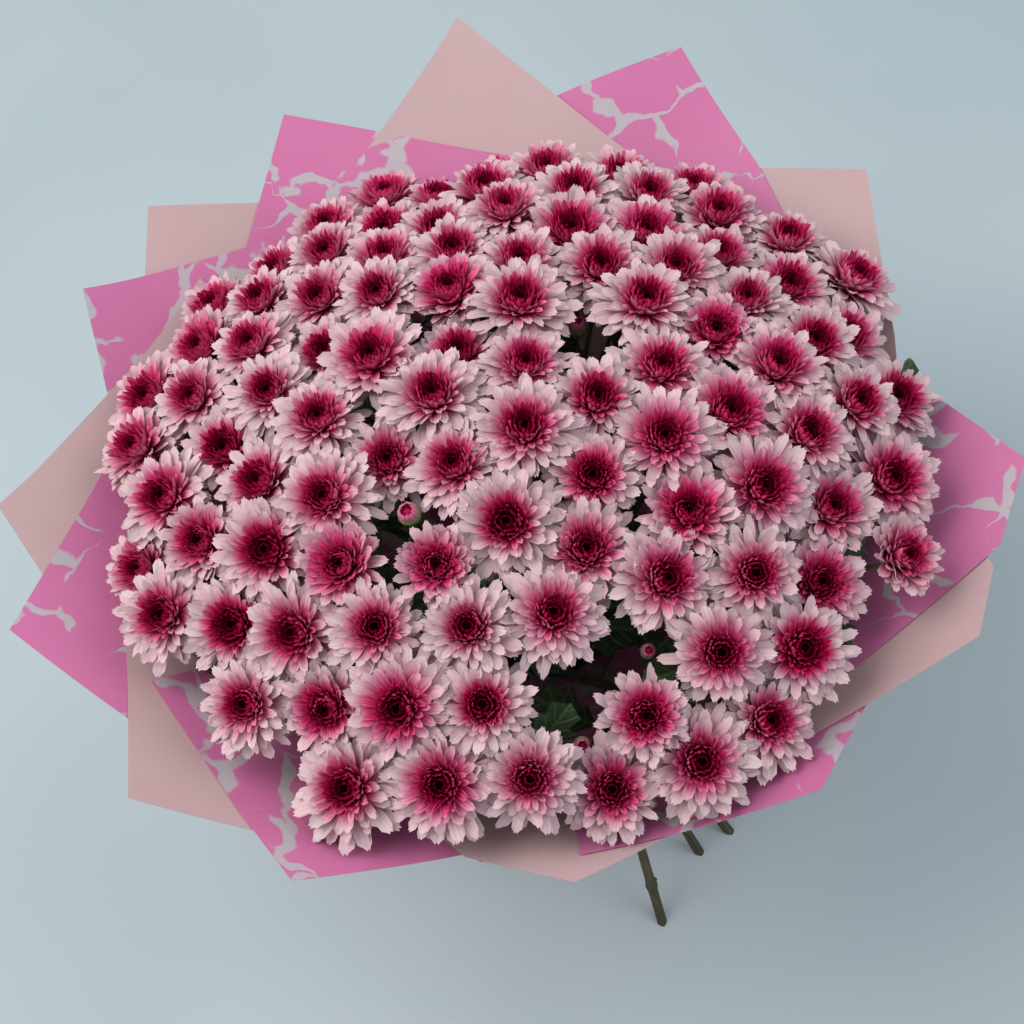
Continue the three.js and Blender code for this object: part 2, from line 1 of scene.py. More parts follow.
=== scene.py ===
# A hand-tied bouquet of spray chrysanthemums in two-tone paper, standing on its cut stems.
# The part's frame is in metres. The bunch itself is laid out in millimetres about the upright line
# through its tie, by the same rule as the part, and each piece is set into the frame as it is made.
import math
from types import SimpleNamespace

import bpy
import numpy as np
from mathutils import Matrix, Vector


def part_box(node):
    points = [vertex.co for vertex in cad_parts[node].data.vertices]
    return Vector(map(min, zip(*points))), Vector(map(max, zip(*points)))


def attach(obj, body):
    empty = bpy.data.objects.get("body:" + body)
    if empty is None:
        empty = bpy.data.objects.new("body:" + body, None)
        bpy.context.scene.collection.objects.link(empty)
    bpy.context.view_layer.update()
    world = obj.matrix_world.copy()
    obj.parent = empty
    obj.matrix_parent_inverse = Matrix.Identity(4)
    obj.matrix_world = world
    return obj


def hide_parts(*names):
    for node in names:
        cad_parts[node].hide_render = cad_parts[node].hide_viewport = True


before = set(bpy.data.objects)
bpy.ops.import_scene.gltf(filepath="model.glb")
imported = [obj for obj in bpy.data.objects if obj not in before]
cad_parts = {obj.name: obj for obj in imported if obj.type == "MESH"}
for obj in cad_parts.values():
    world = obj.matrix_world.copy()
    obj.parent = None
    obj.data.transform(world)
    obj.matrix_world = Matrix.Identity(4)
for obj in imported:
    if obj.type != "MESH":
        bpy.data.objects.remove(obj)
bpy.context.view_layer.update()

# The camera looks down at the bouquet from the front, turned a little about its own line of sight.
# It aims at a point inside the flowers, given from the upright line through the tie.
tie_low, tie_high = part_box("stem_tie")
tie = (tie_low + tie_high) / 2
upright = Vector((tie.x, tie.y, 0))

CAMERA_RISE = math.radians(54)
CAMERA_ROLL = math.radians(-11)
CAMERA_AWAY = 1.150
CAMERA_AIM = Vector((-0.0095, -0.0155, 0.328))
CAMERA_LENS = 68.4
CAMERA_SENSOR = 36

back = Vector((0, -math.cos(CAMERA_RISE), math.sin(CAMERA_RISE)))
facing = back.to_track_quat("Z", "Y")
lens = bpy.data.cameras.new("camera")
lens.lens = CAMERA_LENS
lens.sensor_width = CAMERA_SENSOR
camera = bpy.data.objects.new("camera", lens)
camera.rotation_mode = "QUATERNION"
camera.rotation_quaternion = facing @ Matrix.Rotation(CAMERA_ROLL, 3, "Z").to_quaternion()
camera.location = upright + CAMERA_AIM + back * CAMERA_AWAY
bpy.context.scene.collection.objects.link(camera)
bpy.context.scene.camera = camera


# Daylight from a large window high on the left, a weaker one on the right, and a pale room round
# it all. The colours are kept as they are, without a film look. Light that has bounced
# twice between the petals adds next to nothing more.
LIGHT_BOUNCES = 2
LIT_POINT = Vector((0, 0, 0.3))
ROOM_COLOUR = (0.77, 0.88, 0.94, 1)
ROOM_STRENGTH = 0.56


def soft_window(name, place, size, power, tint):
    light = bpy.data.lights.new(name, "AREA")
    light.shape = "DISK"
    light.size = size
    light.energy = power
    light.color = tint
    window = bpy.data.objects.new(name, light)
    window.location = upright + Vector(place)
    window.rotation_mode = "QUATERNION"
    window.rotation_quaternion = (LIT_POINT - Vector(place)).to_track_quat("-Z", "Y")
    bpy.context.scene.collection.objects.link(window)


soft_window("window", (-1.3, 0.1, 2.1), 2.2, 37, (1.0, 0.985, 0.955))
soft_window("far_window", (1.7, -0.4, 1.9), 2.0, 13, (0.93, 0.97, 1.0))

room = bpy.data.worlds.new("room")
room.use_nodes = True
background = room.node_tree.nodes["Background"]
background.inputs["Color"].default_value = ROOM_COLOUR
background.inputs["Strength"].default_value = ROOM_STRENGTH
bpy.context.scene.world = room
bpy.context.scene.view_settings.view_transform = "Standard"
bpy.context.scene.cycles.diffuse_bounces = LIGHT_BOUNCES


# Shader nodes are added with one call each: the kind of node, its settings, and what goes into
# each of its sockets, either a number or another node's output.
def add_node(tree, kind, settings, sockets):
    node = tree.nodes.new("ShaderNode" + kind)
    for name, value in settings.items():
        setattr(node, name, value)
    for socket, value in sockets.items():
        if isinstance(value, bpy.types.NodeSocket):
            tree.links.new(value, node.inputs[socket])
        else:
            node.inputs[socket].default_value = value
    return node


def calculate(tree, operation, first, second=0.0, third=0.0):
    sockets = {0: first, 1: second, 2: third}
    return add_node(tree, "Math", {"operation": operation}, sockets).outputs[0]


def paint(hexadecimal):
    """The linear colour of a paint given as it looks on a screen."""
    channels = [int(hexadecimal[i:i + 2], 16) / 255 for i in (0, 2, 4)]
    return [c / 12.92 if c <= 0.04045 else ((c + 0.055) / 1.055) ** 2.4 for c in channels] + [1]


def colour_ramp(tree, factor, stops):
    """A ramp through (place, paint) stops, driven by a factor."""
    node = add_node(tree, "ValToRGB", {}, {"Fac": factor})
    elements = node.color_ramp.elements
    while len(elements) < len(stops):
        elements.new(0.5)
    for element, (place, colour) in zip(elements, stops):
        element.position = place
        element.color = paint(colour)
    return node.outputs["Color"]


def mixed(tree, share, first, second, how="MIX"):
    settings = {"data_type": "RGBA", "blend_type": how}
    return add_node(tree, "Mix", settings, {0: share, 6: first, 7: second}).outputs[2]


def noise_in(tree, place, scale, detail, output="Fac"):
    sockets = {"Vector": place, "Scale": scale, "Detail": detail}
    return add_node(tree, "TexNoise", {}, sockets).outputs[output]


def relief_of(tree, strength, distance, height):
    """A relief, as strong as the real one would be at its depth in metres."""
    sockets = {"Strength": strength, "Distance": distance, "Height": height}
    return add_node(tree, "Bump", {}, sockets).outputs[0]


def new_group(name, inputs, outputs):
    """An empty group of shader nodes with named sockets, and its input and output nodes."""
    tree = bpy.data.node_groups.new(name, "ShaderNodeTree")
    for label, kind, value in inputs:
        socket = tree.interface.new_socket(label, in_out="INPUT", socket_type="NodeSocket" + kind)
        if kind == "Float":
            socket.default_value = value
    for label, kind in outputs:
        tree.interface.new_socket(label, in_out="OUTPUT", socket_type="NodeSocket" + kind)
    return tree, tree.nodes.new("NodeGroupInput").outputs, tree.nodes.new("NodeGroupOutput").inputs


def new_material(name):
    """A material with only its output node left, ready for its own nodes."""
    material = bpy.data.materials.new(name)
    material.use_nodes = True
    tree = material.node_tree
    tree.nodes.remove(tree.nodes["Principled BSDF"])
    return material, tree


def finish_material(tree, sockets):
    shader = add_node(tree, "BsdfPrincipled", {}, sockets)
    tree.links.new(shader.outputs[0], tree.nodes["Material Output"].inputs["Surface"])


def attribute(tree, name):
    """The vector that each point of a piece holds under a name."""
    return add_node(tree, "Attribute", {"attribute_name": name}, {}).outputs["Vector"]


def parts_of(tree, vector):
    return add_node(tree, "SeparateXYZ", {}, {0: vector}).outputs


# The floor: a plain pale blue-grey board that the bouquet stands on, matt, with a faint mottle.
FLOOR_HALF = 3.0

floor_mesh = bpy.data.meshes.new("floor")
floor_corners = [(x * FLOOR_HALF, y * FLOOR_HALF, 0) for x, y in ((-1, -1), (1, -1), (1, 1), (-1, 1))]
floor_mesh.from_pydata(floor_corners, [], [(0, 1, 2, 3)])
floor = bpy.data.objects.new("floor", floor_mesh)
bpy.context.scene.collection.objects.link(floor)

board, tree = new_material("pale board")
place = add_node(tree, "TexCoord", {}, {}).outputs["Object"]
mottle = noise_in(tree, place, 2.2, 2.0)
board_colour = colour_ramp(tree, mottle, [(0.35, "b8c4c8"), (0.65, "c2cdd0")])
finish_material(tree, {"Base Color": board_colour, "Roughness": 0.7})
floor_mesh.materials.append(board)


# Every grown or wrapped piece is made of patches: thin grids of points, each row by row. A patch
# carries for each point its place (along, across, and a number of its own) and its tone, and
# fuse() turns a list of patches into one piece, with each grid in its own cell of one flat map.
MM = 0.001
ALONG_CELL = (0.03, 0.97)
ACROSS_CELL = (0.08, 0.92)
CELL_SHAPE = 4


def triple(first, second, third):
    """Three numbers for each point, any of which may be the same for a whole row or grid."""
    return np.stack(np.broadcast_arrays(first, second, third), -1)


def patch(points, place, tone, finish=0, turned=False):
    shape = points.shape
    place = np.broadcast_to(place, shape)
    tone = np.broadcast_to(tone, shape)
    return SimpleNamespace(points=points, place=place, tone=tone, finish=finish, turned=turned)


def grid_faces(count, rows, columns, first, turned):
    row, column = np.indices((rows - 1, columns - 1)).reshape(2, -1)
    corner = row * columns + column
    face = np.stack([corner, corner + columns, corner + columns + 1, corner + 1], 1)
    face = face[:, ::-1] if turned else face
    starts = first + np.arange(count) * rows * columns
    return (starts[:, None, None] + face).reshape(-1, 4)


def fuse(name, patches, lids, materials, nodes):
    """One piece from its patches and from its lids, which are flat faces given by their corners."""
    grids = sum(len(p.points) for p in patches) + len(lids)
    cells_across = math.ceil(math.sqrt(grids / CELL_SHAPE))
    cells_up = math.ceil(grids / cells_across)
    points, faces, uvs, places, tones, finishes = [], [], [], [], [], []
    first = 0
    cell = 0
    for p in patches:
        count, rows, columns = p.points.shape[:3]
        faces.append(grid_faces(count, rows, columns, first, p.turned))
        finishes.append(np.full(len(faces[-1]), p.finish))
        numbers = cell + np.arange(count)
        along = np.linspace(*ALONG_CELL, rows)[:, None]
        across = np.linspace(*ACROSS_CELL, columns)[None, :]
        u = (numbers[:, None, None] % cells_across + along) / cells_across
        v = (numbers[:, None, None] // cells_across + across) / cells_up
        uvs.append(np.stack(np.broadcast_arrays(u, v), -1).reshape(-1, 2))
        points.append(p.points.reshape(-1, 3))
        places.append(p.place.reshape(-1, 3))
        tones.append(p.tone.reshape(-1, 3))
        first += count * rows * columns
        cell += count
    corners = [np.concatenate(faces).ravel()]
    sizes = [np.full(len(corners[0]) // 4, 4)]
    for lid in lids:
        count = len(lid.points)
        corners.append(first + np.arange(count))
        sizes.append([count])
        finishes.append([lid.finish])
        turn = np.linspace(0, 2 * np.pi, count, endpoint=False)
        round_map = 0.5 + 0.45 * np.stack([np.cos(turn), np.sin(turn)], -1)
        uvs.append((round_map + [cell % cells_across, cell // cells_across]) / [cells_across, cells_up])
        points.append(lid.points)
        places.append(np.broadcast_to(lid.place, lid.points.shape))
        tones.append(np.broadcast_to(lid.tone, lid.points.shape))
        first += count
        cell += 1
    corners, sizes = np.concatenate(corners), np.concatenate(sizes)
    mesh = bpy.data.meshes.new(name)
    mesh.vertices.add(first)
    mesh.vertices.foreach_set("co", (np.concatenate(points) * MM + np.array(upright)).ravel())
    mesh.loops.add(len(corners))
    mesh.loops.foreach_set("vertex_index", corners)
    mesh.polygons.add(len(sizes))
    mesh.polygons.foreach_set("loop_start", np.concatenate([[0], np.cumsum(sizes)[:-1]]))
    mesh.polygons.foreach_set("material_index", np.concatenate(finishes))
    smooth = np.repeat([True, False], [len(sizes) - len(lids), len(lids)])
    mesh.polygons.foreach_set("use_smooth", smooth)
    mesh.update(calc_edges=True)
    flat_map = mesh.uv_layers.new(name="OFBake")
    flat_map.data.foreach_set("uv", np.concatenate(uvs)[corners].ravel())
    for label, values in (("place", places), ("tone", tones)):
        layer = mesh.attributes.new(label, "FLOAT_VECTOR", "POINT")
        layer.data.foreach_set("vector", np.concatenate(values).ravel())
    for material in materials:
        mesh.materials.append(material)
    piece = bpy.data.objects.new(name, mesh)
    bpy.context.scene.collection.objects.link(piece)
    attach(piece, "root")
    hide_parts(*nodes)
    return piece


# Where the blooms are: a hundred heads on a shallow dome, placed by the part's own rule, so that
# each head here stands exactly where the part has it.
DOME_CENTRE = np.array([0, 0, 75.0])
DOME_RADIUS = 370
DOME_EDGE = math.radians(38.5)
BLOOM_COUNT = 100
BLOOM_RADIUS = 31
BLOOM_RADIUS_SPREAD = 3
BLOOM_SUNK_MOST = 16
BLOOM_SUNK_POWER = 1.6
BLOOM_LEAN = 0.4
BLOOM_TURN = np.array([0, -0.32, 0.65])
BLOOM_SPACING = 46
PLACING_SEED = 4127
SHAKE = 0.07
EASING_ROUNDS = 12
NEIGHBOUR_PUSH = 0.4
OPENING_PUSH = 0.8
OPENINGS = [(10, 35, 38), (16, -131, 40), (30, -90, 44), (28, -75, 40), (20, -165, 30)]


def seeded_draw(seed):
    state = seed

    def draw():
        nonlocal state
        state = state * 16807 % 2147483647
        return state / 2147483647

    return draw


def direction(from_top, bearing):
    level = math.sin(from_top)
    return np.array([level * math.cos(bearing), level * math.sin(bearing), math.cos(from_top)])


def unit(vectors):
    return vectors / np.linalg.norm(vectors, axis=-1, keepdims=True)


def eased_apart(outwards):
    """The heads' directions, pushed out of the openings and away from near neighbours."""
    openings = [(direction(math.radians(from_top), math.radians(bearing)), radius / DOME_RADIUS)
                for from_top, bearing, radius in OPENINGS]
    spacing = BLOOM_SPACING / DOME_RADIUS
    for _ in range(EASING_ROUNDS):
        away = outwards[:, None] - outwards[None]
        near = np.linalg.norm(away, axis=2)
        np.fill_diagonal(near, 1)
        strength = np.where(near < spacing, NEIGHBOUR_PUSH * (spacing - near) / near, 0)
        np.fill_diagonal(strength, 0)
        push = (away * strength[:, :, None]).sum(1)
        for middle, radius in openings:
            away = outwards - middle
            near = np.linalg.norm(away, axis=1)
            push += away * np.where(near < radius, OPENING_PUSH * (radius - near) / near, 0)[:, None]
        outwards = unit(outwards + push)
        for i, outward in enumerate(outwards):
            if math.acos(outward[2]) > DOME_EDGE:
                outwards[i] = direction(DOME_EDGE, math.atan2(outward[1], outward[0]))
    return outwards


def place_blooms():
    draw = seeded_draw(PLACING_SEED)
    golden_turn = math.pi * (3 - math.sqrt(5))
    spiral = []
    for i in range(BLOOM_COUNT):
        share = (i + 0.5) / BLOOM_COUNT
        from_top = math.acos(1 - (1 - math.cos(DOME_EDGE)) * share)
        shaken = from_top + (draw() - 0.5) * SHAKE
        bearing = i * golden_turn + (draw() - 0.5) * SHAKE / math.sin(from_top)
        spiral.append(direction(min(shaken, DOME_EDGE), bearing))
    blooms = []
    for outward in eased_apart(np.array(spiral)):
        sunk = BLOOM_SUNK_MOST * draw() ** BLOOM_SUNK_POWER
        radius = BLOOM_RADIUS + (draw() * 2 - 1) * BLOOM_RADIUS_SPREAD
        lean = np.array([draw() - 0.5, draw() - 0.5, draw() - 0.5])
        axis = unit(outward + lean * BLOOM_LEAN + BLOOM_TURN)
        turn = draw() * 2 * math.pi
        heart = DOME_CENTRE + outward * (DOME_RADIUS - sunk)
        blooms.append(SimpleNamespace(outward=outward, sunk=sunk, radius=radius,
                                      axis=axis, turn=turn, heart=heart))
    return blooms


# The sprays: twenty-one cut stalks in three rings, each of which carries the heads nearest to it.
# Waist is how far a stalk passes from the middle of the tie, foot how far from it the cut end is.
SPRAY_RINGS = [
    SimpleNamespace(count=3, from_top=math.radians(9.5), bearing=math.radians(40), waist=4.4, foot=38),
    SimpleNamespace(count=7, from_top=math.radians(21), bearing=math.radians(12), waist=11.4, foot=88),
    SimpleNamespace(count=11, from_top=math.radians(32.8), bearing=math.radians(90), waist=18.8, foot=148),
]
OWN_FOOT = {5: 70, 6: 122, 12: 130, 20: 104, 21: 92}

blooms = place_blooms()
sprays = []
for ring in SPRAY_RINGS:
    for i in range(ring.count):
        bearing = ring.bearing + i * 2 * math.pi / ring.count
        foot = OWN_FOOT.get(len(sprays) + 1, ring.foot)
        axis = direction(ring.from_top, bearing)
        sprays.append(SimpleNamespace(waist=ring.waist, foot=foot, bearing=bearing,
                                      axis=axis, blooms=[]))
for bloom in blooms:
    max(sprays, key=lambda spray: bloom.outward @ spray.axis).blooms.append(bloom)

# The wrap's flare, which the petals and leaves have to stay above: radius and height from the hem
# of the skirt through the neck at the tie to the far edge, with a slow wave that all sheets share.
PAPER_PROFILE = np.array([[68, 98], [29, 140], [29, 160], [200, 318], [380, 400]], float)
WAVE_HEIGHT = 5.0
WAVE_STARTS = 120
WAVE_FULL = 290
WAVE_MOST_REACH = 1.3


def paper_wave(x, y):
    """How far the sheets rise and fall together at a place, which keeps them from crossing."""
    reach = np.clip((np.hypot(x, y) - WAVE_STARTS) / (WAVE_FULL - WAVE_STARTS), 0, WAVE_MOST_REACH)
    bearing = np.arctan2(y, x)
    waves = np.sin(5 * bearing + 0.7) + 0.6 * np.sin(8 * bearing + 2.1 + reach)
    waves = waves + 0.35 * np.sin(13 * bearing + 4.0)
    return WAVE_HEIGHT * 0.5 * reach**2 * waves


def flare_height(x, y):
    radius = np.hypot(x, y)
    upper = PAPER_PROFILE[2:]
    return np.interp(radius, upper[:, 0], upper[:, 1]) + paper_wave(x, y)


# One rule shapes every thin blade, from a petal to a leaf: a spine that bends from its start angle
# to its end angle, with a cross-section that cups, twists and sways. All angles are in radians.
SPINE_STEPS = 25
SPINE_BEND = 1.4


def spine(length, start, end, root_radius, root_height):
    """Radius, height and angle at each step along the middles of some blades."""
    way = np.linspace(0, 1, SPINE_STEPS)
    angle = start[:, None] + (end - start)[:, None] * way**SPINE_BEND
    between = (angle[:, 1:] + angle[:, :-1]) / 2
    step = (length / (SPINE_STEPS - 1))[:, None]
    nothing = np.zeros((len(length), 1))
    radius = root_radius + np.concatenate([nothing, np.cumsum(np.cos(between) * step, 1)], 1)
    height = root_height + np.concatenate([nothing, np.cumsum(np.sin(between) * step, 1)], 1)
    return radius, height, angle


def blade_points(shape, length, start, end, half, cup, twist, sway, root_radius, root_height):
    """The upper and lower faces of some blades, as [blade, row, column, xyz], x along their reach."""
    radius, height, angle = spine(length, start, end, root_radius, root_height)
    picked = rows_picked(shape)
    radius, height, angle = radius[:, picked, None], height[:, picked, None], angle[:, picked, None]
    rows = shape.rows[None, :, None]
    columns = shape.columns[None, None, :]
    width = half[:, None, None] * shape.widths[None, :, None]
    turned = twist[:, None, None] * rows
    lift = cup[:, None, None] * width * shape.section[None, None, :]
    side = columns * width * np.cos(turned) + sway[:, None, None] * length[:, None, None] * rows**2
    pulled = -shape.pull[None] * length[:, None, None]
    faces = []
    for thickness in (0, shape.thickness):
        under = thickness * (1 - columns**2) * shape.fullness[None, :, None]
        stand = lift + columns * width * np.sin(turned) - under
        x = radius - np.sin(angle) * stand + np.cos(angle) * pulled
        z = height + np.cos(angle) * stand + np.sin(angle) * pulled
        faces.append(np.stack([x, np.broadcast_to(side, x.shape), z], -1))
    return faces


def rows_picked(shape):
    return np.round(shape.rows * (SPINE_STEPS - 1)).astype(int)


def blade_place(shape, seeds):
    """The place of each point of some blades: row, column and the blade's own number."""
    return triple(shape.rows[None, :, None], shape.columns[None, None, :], seeds)


def laid_out(faces, origin, directions, places, tones, above_paper=None, finish=0):
    """Patches of the two faces of some blades, each blade laid along its own three directions."""
    patches = []
    for under, points in enumerate(faces):
        spread = [points[..., i, None] * one[:, None, None] for i, one in enumerate(directions)]
        world = origin + spread[0] + spread[1] + spread[2]
        if above_paper is not None:
            lowest = flare_height(world[..., 0], world[..., 1]) + above_paper
            world[..., 2] = np.maximum(world[..., 2], lowest)
        patches.append(patch(world, places[under], tones[under], finish=finish, turned=bool(under)))
    return patches


# The shapes of blade that a bloom needs. Broad petals have two grooves and a notched tip, narrow
# ones are plain and channelled.
BROAD_PETAL = SimpleNamespace(
    rows=np.array([0, 0.34, 0.66, 0.88, 1.0]),
    columns=np.array([-1, -0.5, 0, 0.5, 1.0]),
    widths=np.array([0.36, 0.78, 1.0, 0.93, 0.5]),
    section=np.array([1.0, 0.1, 0.32, 0.1, 1.0]),
    fullness=np.array([0, 1, 1, 0.8, 0]),
    pull=np.array([[0] * 5] * 4 + [[0.06, 0.0, 0.045, 0.0, 0.06]]),
    thickness=0.45,
)
NARROW_PETAL = SimpleNamespace(
    rows=np.array([0, 0.4, 0.75, 0.92, 1.0]),
    columns=np.array([-1, 0, 1.0]),
    widths=np.array([0.45, 0.9, 1.0, 0.8, 0.3]),
    section=np.array([1.0, 0.0, 1.0]),
    fullness=np.array([0, 1, 1, 0.8, 0]),
    pull=np.array([[0] * 3] * 4 + [[0.03, 0, 0.03]]),
    thickness=0.4,
)
INNER_PETAL = SimpleNamespace(
    rows=np.array([0, 0.45, 0.82, 1.0]),
    columns=NARROW_PETAL.columns,
    widths=np.array([0.45, 1.0, 0.9, 0.3]),
    section=NARROW_PETAL.section,
    fullness=np.array([0, 1, 1, 0]),
    pull=np.array([[0] * 3] * 3 + [[0.03, 0, 0.03]]),
    thickness=0.4,
)


# The blooms: each head has ten rings of petals on a small green cup. The outer ones are broad,
# white and open, the inner ones narrow, crimson and bent in round a hollow painted near black,
# partly deep crimson and partly painted shade.
def petal_ring(count, root, length, start, end, half, cup, shape):
    """A ring of petals: root is its radius and height on the head, the rest is for one petal."""
    return SimpleNamespace(count=count, root=root, length=length, start=math.radians(start),
                           end=math.radians(end), half=half, cup=cup, shape=shape)


PETAL_RINGS = [
    petal_ring(17, (5.2, -3.4), 26.3, 16, -14, 3.5, 0.14, BROAD_PETAL),
    petal_ring(17, (5.2, -2.6), 25.0, 26, -4, 3.5, 0.18, BROAD_PETAL),
    petal_ring(17, (5.0, -1.8), 22.8, 37, 5, 3.3, 0.24, BROAD_PETAL),
    petal_ring(17, (4.8, -1.0), 20.4, 48, 20, 2.8, 0.34, BROAD_PETAL),
    petal_ring(20, (4.6, -0.4), 18.8, 56, 50, 1.75, 0.45, NARROW_PETAL),
    petal_ring(25, (4.3, 0.2), 17.4, 54, 84, 1.4, 0.50, INNER_PETAL),
    petal_ring(26, (3.8, 0.8), 16.2, 56, 102, 1.2, 0.55, INNER_PETAL),
    petal_ring(23, (3.1, 1.2), 14.2, 60, 112, 1.1, 0.60, INNER_PETAL),
    petal_ring(16, (2.2, 1.6), 11.0, 68, 118, 1.0, 0.60, INNER_PETAL),
    petal_ring(8, (1.2, 1.9), 6.4, 76, 112, 0.95, 0.60, INNER_PETAL),
]
OVERLAP = 9.0
OVERLAP_SPREAD = 8.0
OVERLAP_BY_DEPTH = 0.7
PETAL_TO_PAPER = 2.5
SHORTEST_SQUEEZE = 0.42
LIFTED_BY_SQUEEZE = 0.6
SHORTENED_BY_SQUEEZE = 0.4

# How far single petals stray from their ring, as shares of its measures and in radians.
STRAY = SimpleNamespace(around=0.7, length=0.32, start=0.22, end=0.85, half=0.42, twist=1.5, sway=0.28)
STRAY_LESS_INSIDE = 0.8
TWIST_LESS_INSIDE = 0.85

# A young or deeply set head is shorter, redder and more closed.
YOUNG_SHARE = 0.22
YOUNG = SimpleNamespace(below=9, by_depth=0.04, redder=0.9, shorter=0.12, start=0.5, end=0.75)


def neighbour_rooms(bloom):
    """Towards each near neighbour: its direction, and how far this bloom's petals may reach."""
    hearts = np.array([other.heart for other in blooms if other is not bloom])
    sunk = np.array([other.sunk for other in blooms if other is not bloom])
    apart = hearts - bloom.heart
    distance = np.linalg.norm(apart, axis=1)
    near = distance < 3 * BLOOM_RADIUS
    over = np.clip((sunk - bloom.sunk) * OVERLAP_BY_DEPTH, -OVERLAP_SPREAD, OVERLAP_SPREAD)
    return apart[near] / distance[near, None], distance[near] / 2 + OVERLAP + over[near]


# How far the crimson reaches out from the heart of a head, how softly it ends, and how much both
# vary from head to head.
FLUSH_RADIUS = 12.4
FLUSH_FADE = 9.8
FLUSH_FADE_SPREAD = 0.4
FLUSH_FADE_RANGE = (-1, 0.8)
FLUSH_SHIFT = 3.0
FLUSH_OUTSIDE = 0.92
FLUSH_INWARDS = 0.28
# From this ring level inwards the petals are darkened towards near black: partly the heart's own deep
# crimson, partly painted shade of the hollow.
HEART_LEVEL = 0.7
HEART_DEEP_RED_AND_SHADE = 0.9
REDNESS_SPREAD = 0.35
REDNESS_RANGE = (-0.8, 1.5)
PALER_BACKS_UP_TO = 0.6
PALER_BACKS_LOST = 0.9
SIDE_HINT = np.array([0.3, 0.2, 0.9])


def flush_of(radius, level, redness, softness, own_shift):
    """How red a petal is at a radius from the middle of its head: 0 is white, 1 is crimson, and
    above that the heart's deep crimson is darkened further with painted shade.
    """
    middle = FLUSH_RADIUS + FLUSH_SHIFT * redness + own_shift[:, None, None]
    fade = np.clip((radius - middle) / (2 * FLUSH_FADE * softness) + 0.5, 0, 1)
    fade = fade * fade * (3 - 2 * fade)
    return (FLUSH_OUTSIDE + FLUSH_INWARDS * level + HEART_DEEP_RED_AND_SHADE * max(level - HEART_LEVEL, 0)) * (1 - fade)


def ring_directions(axes, around):
    """Along, across and up for each petal of a ring, from its head's axes and its angle."""
    side, forward, up = axes
    along = forward * np.cos(around)[:, None] + side * np.sin(around)[:, None]
    across = side * np.cos(around)[:, None] - forward * np.sin(around)[:, None]
    return along, across, np.broadcast_to(up, along.shape)


def bloom_patches(bloom, chance):
    """All patches of one bloom's petals."""
    side = unit(np.cross(bloom.axis, SIDE_HINT))
    axes = (side, np.cross(side, bloom.axis), bloom.axis)
    towards, rooms = neighbour_rooms(bloom)
    young = max(0.0, 1 - chance.random() / YOUNG_SHARE) + YOUNG.by_depth * max(bloom.sunk - YOUNG.below, 0)
    redness = np.clip(chance.normal(0, REDNESS_SPREAD) + YOUNG.redder * young, *REDNESS_RANGE)
    softness = 1 + FLUSH_FADE_SPREAD * chance.uniform(*FLUSH_FADE_RANGE)
    size = bloom.radius / BLOOM_RADIUS
    patches = []
    for number, ring in enumerate(PETAL_RINGS):
        level = number / (len(PETAL_RINGS) - 1)
        count = ring.count
        spread = chance.uniform(-0.5, 0.5, (7, count))
        loose = 1 - STRAY_LESS_INSIDE * level
        steps = np.arange(count) + 0.5 * number + STRAY.around * loose * spread[0]
        directions = ring_directions(axes, bloom.turn + 2 * np.pi * steps / count)
        length = ring.length * size * (1 + STRAY.length * spread[1] * loose) * (1 - YOUNG.shorter * young)
        start = ring.start + STRAY.start * spread[2] * loose + YOUNG.start * young * (1 - level)
        end = ring.end + STRAY.end * spread[3] * loose + YOUNG.end * young * (1 - level)

        # A petal that would reach too far into its neighbours is lifted and shortened.
        radius, height, _ = spine(length, start, end, *ring.root)
        tips = radius[:, -1:] * directions[0] + height[:, -1:] * bloom.axis
        squeeze = np.clip((rooms / np.maximum(tips @ towards.T, 1e-6)).min(1), SHORTEST_SQUEEZE, 1)
        chord = np.arctan2(height[:, -1] - height[:, 0], radius[:, -1] - radius[:, 0])
        raised = np.arccos(np.clip(squeeze**LIFTED_BY_SQUEEZE * np.cos(chord), -1, 1)) - np.abs(chord)
        raised = np.where(squeeze < 1, raised, 0)
        length = length * squeeze**SHORTENED_BY_SQUEEZE

        half = ring.half * size * (1 + STRAY.half * spread[4] * loose)
        twist = STRAY.twist * spread[5] * (1 - TWIST_LESS_INSIDE * level)
        sway = STRAY.sway * spread[6] * loose
        faces = blade_points(ring.shape, length, start + raised, end + raised, half,
                             np.full(count, ring.cup), twist, sway, *ring.root)
        place = blade_place(ring.shape, chance.random(count)[:, None, None])
        from_middle = radius[:, rows_picked(ring.shape), None] / size
        flush = flush_of(from_middle, level, redness, softness, FLUSH_SHIFT * spread[5])
        paler = 1 - PALER_BACKS_LOST * max(level - PALER_BACKS_UP_TO, 0) / (1 - PALER_BACKS_UP_TO)
        tones = [triple(flush, under * paler, level) for under in (0, 1)]
        patches += laid_out(faces, bloom.heart, directions, [place] * 2, tones, PETAL_TO_PAPER)
    cup = turned_patch(CUP_PROFILE, CUP_SIDES, bloom.heart, axes, 1, (0, 0, 0.5))
    # The core is painted near-black crimson: partly its own colour, partly painted shade at the bottom of
    # the hollow.
    core = turned_patch(CORE_PROFILE, CUP_SIDES, bloom.heart, axes, 0, (1.3, 0, 1))
    return patches + [cup, core]


def turned_patch(profile, sides, origin, axes, finish, tone):
    """A patch turned about an axis, from a list of (radius, height) and three directions."""
    turn = np.linspace(0, 2 * np.pi, sides + 1)
    radius, height = np.array(profile, float).T
    level = origin + height[:, None, None] * axes[2]
    ring = np.cos(turn)[:, None] * axes[0] + np.sin(turn)[:, None] * axes[1]
    points = (level + radius[:, None, None] * ring)[None]
    place = triple(np.linspace(0, 1, len(profile))[:, None], np.abs(turn / np.pi - 1)[None, :], 0.37)
    return patch(points, place, np.array(tone, float), finish=finish, turned=True)


